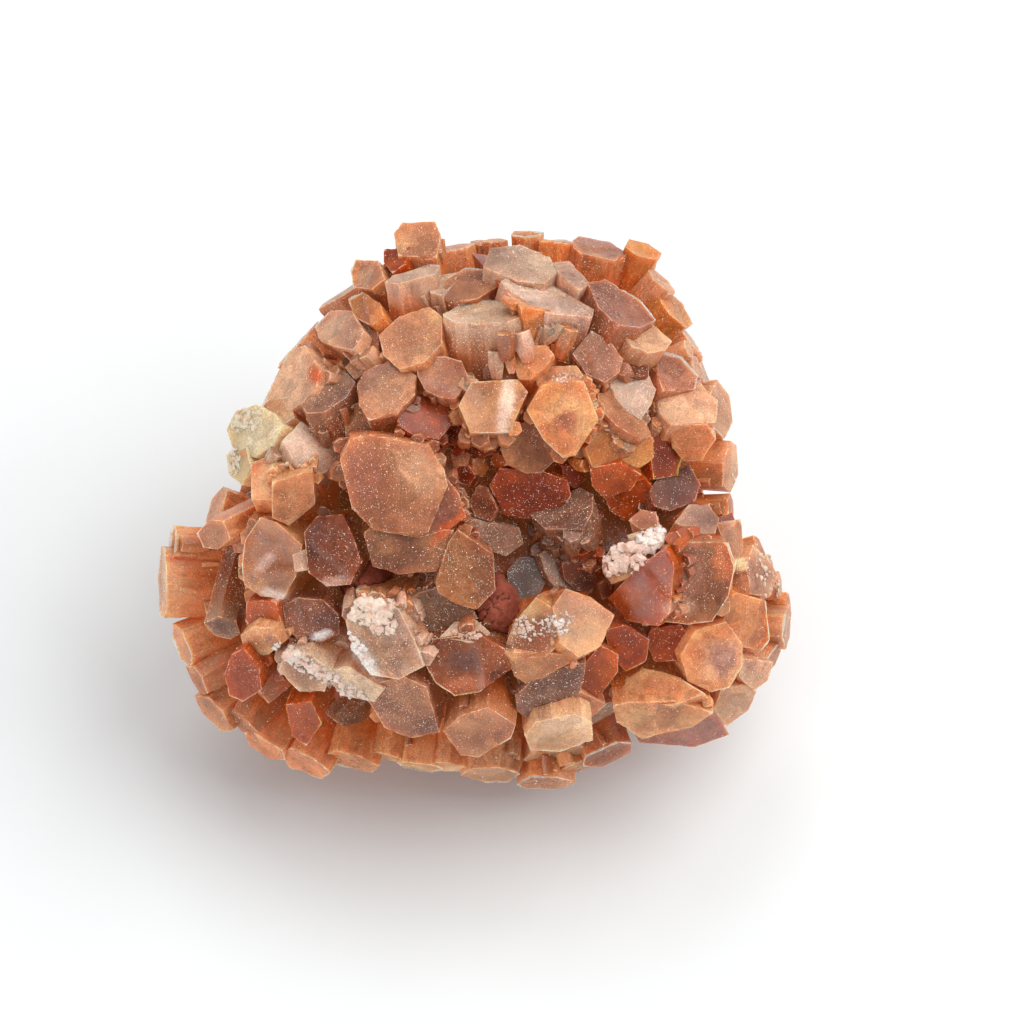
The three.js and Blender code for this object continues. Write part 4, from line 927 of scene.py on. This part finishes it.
def crystal_material(name, reach):
    """Aragonite, in which light scatters as far as reach, in metres."""
    s = Shader(name)
    spot = s.attribute("place")
    tint, vein = s.attribute("tint", "Color"), s.attribute("vein", "Color")
    depth, rim, chance = s.split(s.attribute("growth"))
    glitter, pepper, _ = s.split(s.attribute("traits"))
    down = s.ramp(depth, 0.05, 0.5)
    haze = s.noise(spot, 1.3, 2, 0.6)
    grit = s.noise(spot, 6, 2, 0.75)
    streaks = s.noise(s.vector("MULTIPLY", spot, (1.2, 1.2, 0.22)), 1.0, 3, 0.7)

    # Cloudy caps; walls streaked along the axis; fine grain, coarser on the walls.
    base = s.mix(s.times(down, s.ramp(streaks, 0.44, 0.66)), tint, vein)
    dark = s.math("ADD", s.times(s.ramp(streaks, 0.32, 0.46, 0.86, 1), down), s.rest(down))
    grain = s.times(s.ramp(haze, 0.3, 0.7, 0.9, 1.1), s.ramp(grit, 0.3, 0.7, 0.74, 1.24))
    base = s.shaded(base, s.times(grain, dark))

    # Columns that grew side by side, each a little lighter, darker or warmer.
    columns = {"Vector": s.vector("MULTIPLY", spot, (1, 1, 0.15)), "Scale": 0.6}
    lighter, warmer, _ = s.split(s.made("TexVoronoi", columns)["Color"])
    base = s.shaded(base, s.ramp(lighter, 0, 1, 0.86, 1.12))
    base = s.mix(s.ramp(warmer, 0.5, 1, 0, 0.3), base, vein)

    # Pale rims, here and there: partly worn edges, partly a painted highlight of light coming through the
    # edges.
    worn = s.times(s.ramp(rim, 0.04, 0.12, 1, 0), s.ramp(haze, 0.46, 0.56))
    base = s.mix(s.times(worn, 0.45), base, colour((255, 222, 194)))

    # Frost: painted glints, pale specks standing for clear crystal that catches the light, and dark pepper
    # between them.
    cells = s.made("TexVoronoi", {"Vector": spot, "Scale": 9})
    pick, tilt, other = s.split(cells["Color"])
    dot = s.ramp(cells["Distance"], 0.25, 0.42, 1, 0)
    painted_glint = s.times(s.math("GREATER_THAN", pick, s.rest(s.times(glitter, 0.22))), dot)
    speck = s.times(s.math("GREATER_THAN", tilt, s.rest(s.times(pepper, 0.12))), dot)
    base = s.mix(s.times(speck, 0.45), base, colour((92, 52, 36)))
    base = s.mix(s.times(painted_glint, s.ramp(other, 0, 1, 0.35, 1.0)), base, colour((255, 240, 222)))

    # Painted light: the clefts glow by emission, standing for light that has come through the crystals; the
    # painted glints glow a little too.
    glow = s.mix(s.ramp(depth, 0.2, 3.5, 0, 1), (0, 0, 0, 1), (0.055, 0.015, 0.003, 1))
    glow = s.mix(painted_glint, glow, (0.16, 0.14, 0.12, 1))

    relief = s.bump(s.math("ADD", s.times(grit, 0.4), s.times(streaks, down)), 0.5, 0.00012)
    askew = s.vector("SUBTRACT", cells["Color"], (0.5, 0.5, 0.5))
    askew = s.vector("SCALE", askew, Scale=s.times(painted_glint, 1.2))
    rough = s.times(s.ramp(haze, 0.3, 0.7, 0.28, 0.5), s.ramp(chance, 0.1, 0.6, 0.75, 1))
    keys = {
        "Base Color": base,
        "Roughness": s.math("SUBTRACT", rough, s.times(painted_glint, 0.2), clamp=True),
        "Normal": s.vector("NORMALIZE", s.vector("ADD", relief, askew)),
        "IOR": 1.55,
        "Specular IOR Level": 0.38,
        "Subsurface Weight": s.math("SUBTRACT", 0.9, s.times(s.math("MAXIMUM", painted_glint, speck), 0.9)),
        "Subsurface Radius": (1.0, 0.52, 0.32),
        "Subsurface Scale": reach,
        "Emission Color": glow,
        "Emission Strength": 1.0,
    }
    return s.finish(keys, subsurface_method=SUBSURFACE)


def clay_material():
    s = Shader("red_clay")
    spot = s.millimetres()
    mottle = s.ramp(s.noise(spot, 0.6, 5, 0.6), 0.3, 0.7)
    base = s.mix(mottle, colour((122, 52, 34)), colour((158, 78, 56)))
    dust = s.ramp(s.noise(spot, 3.2, 4), 0.55, 0.75, 0, 0.4)
    base = s.mix(dust, base, colour((196, 128, 102)))
    # Painted shade: the cracks are darkened nearly to black, as shade falls in them.
    crack = s.ramp(s.attribute("crack", "Fac"), 0.15, 0.75)
    base = s.mix(crack, base, colour((54, 20, 12)))
    grain = s.bump(s.noise(spot, 7, 4), 0.6, 0.00015)
    return s.finish({"Base Color": base, "Roughness": 0.92, "Normal": grain})


def crust_material():
    s = Shader("sugary_crust")
    spot = s.millimetres()
    pink = s.ramp(s.noise(spot, 0.9, 4), 0.4, 0.65, 0, 0.5)
    base = s.mix(pink, s.attribute("tint", "Color"), colour((224, 164, 138)))
    base = s.mix(s.ramp(s.noise(spot, 3.4, 4), 0.52, 0.68, 0, 0.6), base, colour((252, 244, 234)))
    base = s.mix(s.ramp(s.noise(spot, 5.1, 2), 0.6, 0.68, 0, 0.35), base, colour((176, 112, 84)))
    keys = {
        "Base Color": base,
        "Roughness": 0.5,
        "Normal": s.bump(s.noise(spot, 5, 5, 0.65), 0.8, 0.0002),
        "Subsurface Weight": 0.4,
        "Subsurface Radius": (1.0, 0.6, 0.4),
        "Subsurface Scale": 0.0006,
    }
    return s.finish(keys, subsurface_method=SUBSURFACE)


def glitter_material():
    s = Shader("glitter")
    warm = s.ramp(s.noise(s.millimetres(), 1.5, 2), 0.4, 0.6)
    base = s.mix(warm, colour((255, 246, 232)), colour((250, 206, 160)))
    # Painted glints: the grains glow a little by emission, standing for light caught by their faces.
    glint = {"Emission Color": base, "Emission Strength": 0.3}
    return s.finish({"Base Color": base, "Roughness": 0.16, "IOR": 1.6, "Specular IOR Level": 0.9, **glint})


body.materials.clear()
body.materials.append(crystal_material("aragonite", 0.0022))
cluster.name = "crystals"
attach(cluster, "root")
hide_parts("crystal_cluster")

# ---- young crystals on the walls

YOUNG_TRIED = 1500
YOUNG_RADIUS = (0.22, 1.05)
YOUNG_WALLS = 0.4  # a face whose normal agrees with the axis by less than this is a wall
YOUNG_DOWN, YOUNG_ABOVE_GROUND = (0.5, 6), 2.5  # how far down the walls they grow, and how high
YOUNG_RIM, YOUNG_AT_RIM = 0.8, 0.15  # beyond this share of the outline they are scarcer by so much
YOUNG_LEAN, YOUNG_PROUD, YOUNG_SUNK = 0.16, (-0.8, 0.4), 0.25  # beside the large one's axis and wall


def triangles_of(mesh):
    """A mesh's triangles: three corners, normal, area and the face each belongs to."""
    mesh.calc_loop_triangles()
    corners = read(mesh.loop_triangles, "vertices", 3, np.int32)
    a, b, c = points_of(mesh)[corners].transpose(1, 0, 2)
    cross = np.cross(b - a, c - a)
    double_area = np.linalg.norm(cross, axis=1)
    face = read(mesh.loop_triangles, "polygon_index", 1, np.int32)
    return a, b, c, cross / np.maximum(double_area, 1e-9)[:, None], double_area / 2, face


def young_crystals(mesh, grown, dice):
    """Small prisms that stand against the walls of the large ones, side by side with them."""
    a, b, c, normals, area, face = triangles_of(mesh)
    owner = face_owners(mesh)[face]
    axes = np.array([[0, 0, 1.0], *[x.axis for x in grown]])[owner]
    tips = np.array([[0, 0, 40.0], *[x.middle for x in grown]])[owner]
    middles = (a + b + c) / 3
    depth = -((middles - tips) * axes).sum(1)
    walls = (np.abs((normals * axes).sum(1)) < YOUNG_WALLS) & (to_part(middles)[:, 2] > YOUNG_ABOVE_GROUND)
    walls &= (depth > YOUNG_DOWN[0]) & (depth < YOUNG_DOWN[1])
    crowd = np.clip(0.25 + 1.5 * noise(middles, 0.22, 70), 0.03, 1.6)
    across, up = (middles - HEART)[:, :2].T
    crowd[np.hypot(across, up) >= YOUNG_RIM * outline_reach(across, up)] *= YOUNG_AT_RIM
    rate = area * walls * crowd * (0.35 + np.exp(-depth / 2.0))
    found = []
    for k in dice.choice(len(area), YOUNG_TRIED, p=rate / rate.sum()):
        share = dice.dirichlet((1, 1, 1))
        radius = YOUNG_RADIUS[0] + (YOUNG_RADIUS[1] - YOUNG_RADIUS[0]) * dice.power(0.6)
        lean, proud = dice.normal(0, YOUNG_LEAN, 3), dice.uniform(*YOUNG_PROUD)
        at = share @ np.array([a[k], b[k], c[k]])
        twist, bends = dice.uniform(0, 60), dice.uniform(-1, 1, (6, 2))
        blocked = tree.ray_cast(Vector(at + normals[k] * 0.05), Vector(normals[k]), radius * 1.4 + 0.3)
        if blocked[0] is not None:
            continue
        axis = unit(axes[k] + lean)
        tip = at + normals[k] * radius * YOUNG_SUNK + axis * radius * proud
        across = unit(np.cross(axis, [0.3, 0.5, 0.8]))
        other = np.cross(axis, across)
        angles = np.radians(twist + 60 * np.arange(6) + 9 * bends[:, 0])
        reach = radius * (1 + 0.15 * bends[:, 1])
        ring = np.stack([reach * np.cos(angles), reach * np.sin(angles)], 1)
        corners = tip + ring @ np.stack([across, other])
        host = grown[owner[k] - 1].tone if owner[k] else "root"
        tone = host if dice.uniform() < 0.8 else dice.choice(["peach", "amber", "rose"])
        found.append(Crystal(str(tone), corners, axis, radius * 2 + 1.2, 1))
    return found


# Rings of a young crystal: how far down, as a share of its radius and of its length; width; slant.
YOUNG_RINGS = [(0, 0, 0.92, 1), (0.1, 0, 1, 1), (0, 0.5, 1.05, 0), (0, 1, 0.7, 0)]


def young_mesh(grown, dice):
    """One mesh of all of them: a worn cap and three bands of wall each."""
    points, faces, one = [], [], []
    for side in range(6):
        after = (side + 1) % 6
        one.append([0, 1 + side, 1 + after])
        one += [[high + side, high + 6 + side, high + 6 + after, high + after] for high in (1, 7, 13)]
    one.append([24, 23, 22, 21, 20, 19])
    for number, c in enumerate(grown):
        slant = dice.uniform(-0.12, 0.12, 2)
        points.append(c.out(np.zeros((1, 2)), [c.size * dice.uniform(-0.04, 0.06)]))
        for by_size, by_length, width, slanted in YOUNG_RINGS:
            ring = c.flat * width
            points.append(c.out(ring, ring @ slant * slanted - by_size * c.size - by_length * c.length))
        faces += [[25 * number + i for i in face] for face in one]
    return np.concatenate(points), faces, np.repeat(np.arange(len(grown)) + 1, len(one))


tree = BVHTree.FromPolygons(points_of(body).tolist(), [p.vertices[:] for p in body.polygons])
chance_of_growth = np.random.default_rng(404)
young = young_crystals(body, crystals, chance_of_growth)
points, faces, owner = young_mesh(young, chance_of_growth)
young_piece = mesh_object("young_crystals", points, faces)
set_attribute(young_piece.data, "crystal", "INT", "FACE", owner)
dress(young_piece.data, young, chance_of_growth, spread=12)
young_piece.data.materials.append(crystal_material("young_aragonite", 0.0004))
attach(young_piece, "root")

# ---- clay

CLAY_GRID, CLAY_SWELL = 0.16, 0.28  # spacing of its points, and how far it stands out of the CAD lump
CLAY_PLATES, CRACK_WIDTH, CRACK_DEPTH = 220, 0.11, 0.5

clay_finish = clay_material()
for node in ("red_clay_middle", "red_clay_left"):
    source = frame["nodes"][node]
    lump = bpy.data.objects.new(node.replace("red_clay", "clay"), source.data.copy())
    bpy.context.scene.collection.objects.link(lump)
    remesh = lump.modifiers.new("grain", "REMESH")
    remesh.mode, remesh.voxel_size = "VOXEL", CLAY_GRID * MM
    mesh = evaluated(lump)
    for key in [a.name for a in mesh.attributes if not a.is_required and not a.is_internal]:
        mesh.attributes.remove(mesh.attributes[key])
    points = points_of(mesh)
    away = read(mesh.vertices, "normal", 3) @ FACE_TO_PART
    seeds = np.random.default_rng(5).uniform(-12, 12, (CLAY_PLATES, 2)) + points[:, :2].mean(0)
    wander = points[:, :2] + 0.7 * np.stack([fractal(points, 0.6, 60), fractal(points, 0.6, 61)], 1)
    gaps = np.sort(np.hypot(*(wander[:, None] - seeds[None]).transpose(2, 0, 1)), 1)
    crack = np.exp(-(((gaps[:, 1] - gaps[:, 0]) / CRACK_WIDTH) ** 2))
    crack *= np.clip(0.5 + noise(points, 0.35, 63) * 1.4, 0, 1)
    swell = CLAY_SWELL + 0.2 * fractal(points, 0.9, 64) - CRACK_DEPTH * crack
    points = points + away * swell[:, None]
    mesh.vertices.foreach_set("co", (to_part(points) * MM).astype(np.float32).ravel())
    set_attribute(mesh, "crack", "FLOAT", "POINT", crack)
    mesh.shade_smooth()
    mesh.materials.clear()
    mesh.materials.append(clay_finish)
    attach(lump, "root")
    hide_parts(node)

# ---- sugary crust

# Patches of crust: middle u v, half spread across and up, turn, how many nodules, their radii, tone.
CRUST = [
    (-13.6, -9.9, 2.6, 1.7, -50, 170, (0.2, 0.75), (250, 226, 208)),
    (-15.6, -9.4, 1.0, 1.2, 0, 40, (0.25, 0.8), (252, 230, 212)),
    (-11.4, -9.0, 0.8, 0.7, 0, 18, (0.25, 0.6), (240, 214, 190)),
    (-15.2, -13.6, 2.6, 0.6, -52, 90, (0.12, 0.45), (254, 242, 234)),
    (-18.8, -16.2, 5.2, 0.9, -30, 240, (0.12, 0.48), (250, 226, 214)),
    (-22.4, -13.9, 1.5, 0.8, -20, 70, (0.15, 0.5), (250, 228, 216)),
    (11.0, -4.6, 2.3, 1.7, 20, 120, (0.2, 0.8), (248, 214, 198)),
    (13.6, -2.8, 1.7, 1.1, 30, 90, (0.2, 0.8), (254, 240, 232)),
    (5.4, 13.3, 1.7, 0.5, 0, 70, (0.08, 0.24), (250, 232, 216)),
    (4.6, -11.0, 1.7, 1.2, 20, 110, (0.1, 0.32), (250, 236, 228)),
    (1.6, -11.4, 1.7, 1.3, 0, 90, (0.1, 0.32), (238, 206, 188)),
    (-26.6, 9.2, 1.7, 1.3, 20, 60, (0.2, 0.7), (232, 222, 192)),
    (-27.8, 5.0, 0.8, 1.4, 0, 40, (0.15, 0.5), (240, 236, 214)),
    (-4.6, -11.9, 1.5, 0.7, -10, 50, (0.15, 0.45), (226, 180, 156)),
    (23.5, 2.5, 1.5, 3.5, 10, 60, (0.1, 0.4), (244, 214, 190)),
    (25.8, -6.5, 1.4, 3, 20, 60, (0.1, 0.4), (244, 210, 186)),
]

CRUST_FROM = 60  # height over the face from which the nodules are let down onto it
CRUST_SUNK, CRUST_STRETCH, CRUST_JAG = 0.2, (0.7, 1.25), (-0.28, 0.22)

sand = np.random.default_rng(31)
lumps = bpy.data.collections.new("lumps")
bpy.context.scene.collection.children.link(lumps)
ball, ball_faces = ready_shape(bmesh.ops.create_icosphere, subdivisions=1, radius=1)
first = None
for patch, (u0, v0, half_u, half_v, turn, count, radii, _) in enumerate(CRUST):
    for k in range(count):
        r, a = math.sqrt(sand.uniform()), sand.uniform(0, 2 * math.pi)
        u, v = turned(r * half_u * math.cos(a), r * half_v * math.sin(a), turn)
        hit, normal, _, _ = tree.ray_cast(Vector((u0 + u, v0 + v, CRUST_FROM)), Vector((0, 0, -1)))
        radius = (radii[0] + (radii[1] - radii[0]) * sand.power(0.6)) * (1.15 - 0.5 * r)
        stretch, jag = sand.uniform(*CRUST_STRETCH, 3), sand.uniform(*CRUST_JAG, len(ball))
        if hit is None:
            continue
        middle = np.array(hit) - np.array(normal) * radius * CRUST_SUNK
        shape = ball * (1 + jag)[:, None] * radius * stretch
        lump = mesh_object(f"lump_{patch}_{k}", middle + shape, ball_faces, link=False)
        set_attribute(lump.data, "patch", "INT", "FACE", np.full(len(ball_faces), patch))
        home = lumps if first else bpy.context.scene.collection
        home.objects.link(lump)
        first = first or lump
boolean(first, "UNION", operand_type="COLLECTION", collection=lumps)
crust = evaluated(first)
drop_all(lumps.objects, lumps)
first.name = "sugary_crust"
patches = read(crust.attributes["patch"].data, "value", 1, np.int32)
tones = np.array([colour(row[7]) for row in CRUST])
set_attribute(crust, "tint", "FLOAT_COLOR", "CORNER", tones[patches][corner_faces(crust)])
crust.set_sharp_from_angle(angle=math.radians(40))
crust.materials.clear()
crust.materials.append(crust_material())
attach(first, "root")

# ---- glitter

GRAINS, GRAIN_RADIUS, GRAIN_SPREAD = 24000, 0.028, 0.055
GRAIN_ABOVE_GROUND, GRAIN_FRONT = 0.2, -4  # behind this depth in the face there are fewer
BIT = np.array([[0, 0, 1], [1, 0, 0], [-0.5, 0.87, 0], [-0.5, -0.87, 0], [0, 0, -1]])
BIT_FACES = np.array([[0, 1, 2], [0, 2, 3], [0, 3, 1], [4, 2, 1], [4, 3, 2], [4, 1, 3]])

a, b, c, _, area, face = triangles_of(body)
middles = (a + b + c) / 3
rate = np.array([TONES["root"][3], *[TONES[x.tone][3] for x in crystals]])[face_owners(body)[face]]
patchy = np.clip(0.55 + 1.3 * noise(middles, 0.35, 80) + 0.6 * noise(middles, 1.1, 81), 0.03, 2.4)
rate = area * rate * patchy * (0.25 + (middles[:, 2] > GRAIN_FRONT))
chosen = sand.choice(len(area), GRAINS, p=rate / rate.sum())
mixes = sand.dirichlet((1, 1, 1), GRAINS)
at = mixes[:, :1] * a[chosen] + mixes[:, 1:2] * b[chosen] + mixes[:, 2:] * c[chosen]
spin = np.linalg.qr(sand.normal(size=(GRAINS, 3, 3)))[0]
spin[np.linalg.det(spin) < 0] *= -1
radius = GRAIN_RADIUS + GRAIN_SPREAD * sand.power(0.5, GRAINS) ** 2
above = to_part(at)[:, 2] > GRAIN_ABOVE_GROUND
at, radius, spin = at[above], radius[above], spin[above]
grains = np.einsum("nij,kj->nki", spin, BIT) * radius[:, None, None] + at[:, None]
faces = (BIT_FACES + len(BIT) * np.arange(len(at))[:, None, None]).reshape(-1, 3)
glitter = mesh_object("glitter", grains.reshape(-1, 3), faces.tolist())
glitter.data.materials.append(glitter_material())
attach(glitter, "root")

# ---- stage, light and camera

FLOOR_HALF = 3  # metres
FLOOR_TINT = (0.965, 1, 1.018)
floor_mesh = bpy.data.meshes.new("floor")
floor_corners = [(x * FLOOR_HALF, y * FLOOR_HALF, 0) for x, y in ((-1, -1), (1, -1), (1, 1), (-1, 1))]
floor_mesh.from_pydata(floor_corners, [], [(0, 1, 2, 3)])
floor = bpy.data.objects.new("floor", floor_mesh)
bpy.context.scene.collection.objects.link(floor)
paper = Shader("paper")
wave = paper.ramp(paper.noise(paper.millimetres(), 0.04, 3), 0.3, 0.7, 0.85, 0.87)
sheen = paper.node("CombineColor", {k: paper.times(wave, share) for k, share in enumerate(FLOOR_TINT)})
floor_mesh.materials.append(paper.finish({"Base Color": sheen, "Roughness": 0.9}))

# Lights: name, direction from the cluster, distance and size in metres, power in watts, colour.
LIGHTS = [
    ("key", (0.55, 0.02, 0.83), 0.5, 0.5, 2.1, (1, 0.99, 0.97)),
    ("fill", (-0.75, -0.62, 0.24), 0.6, 0.35, 1.2, (1, 0.99, 0.98)),
    ("sky", (-0.15, 0.5, 0.85), 0.5, 0.3, 0.6, (1, 1, 1)),
]
WORLD_STRENGTH = 0.48

for name, direction, distance, size, power, tone in LIGHTS:
    light = bpy.data.lights.new(name, "AREA")
    light.shape, light.size, light.energy, light.color = "DISK", size, power, tone
    lamp = bpy.data.objects.new(name, light)
    towards = Vector(direction).normalized()
    lamp.location = Vector(FACE_CENTRE * MM) + towards * distance
    lamp.rotation_mode = "QUATERNION"
    lamp.rotation_quaternion = towards.to_track_quat("Z", "Y")
    bpy.context.scene.collection.objects.link(lamp)

world = bpy.data.worlds.new("studio")
world.use_nodes = True
background = world.node_tree.nodes["Background"].inputs
background[0].default_value = (1, 1, 1, 1)
background[1].default_value = WORLD_STRENGTH
bpy.context.scene.world = world
bpy.context.scene.view_settings.view_transform = "Standard"

CAMERA_LENS, CAMERA_SENSOR, CAMERA_DISTANCE = 300, 36, 0.863  # millimetres, millimetres and metres
camera_data = bpy.data.cameras.new("camera")
camera_data.lens, camera_data.sensor_width = CAMERA_LENS, CAMERA_SENSOR
camera = bpy.data.objects.new("camera", camera_data)
out_of_face = Vector(FACE_TO_PART[:, 2])
camera.location = Vector(FACE_CENTRE * MM) + out_of_face * CAMERA_DISTANCE
camera.rotation_mode = "QUATERNION"
camera.rotation_quaternion = out_of_face.to_track_quat("Z", "Y")
bpy.context.scene.collection.objects.link(camera)
bpy.context.scene.camera = camera
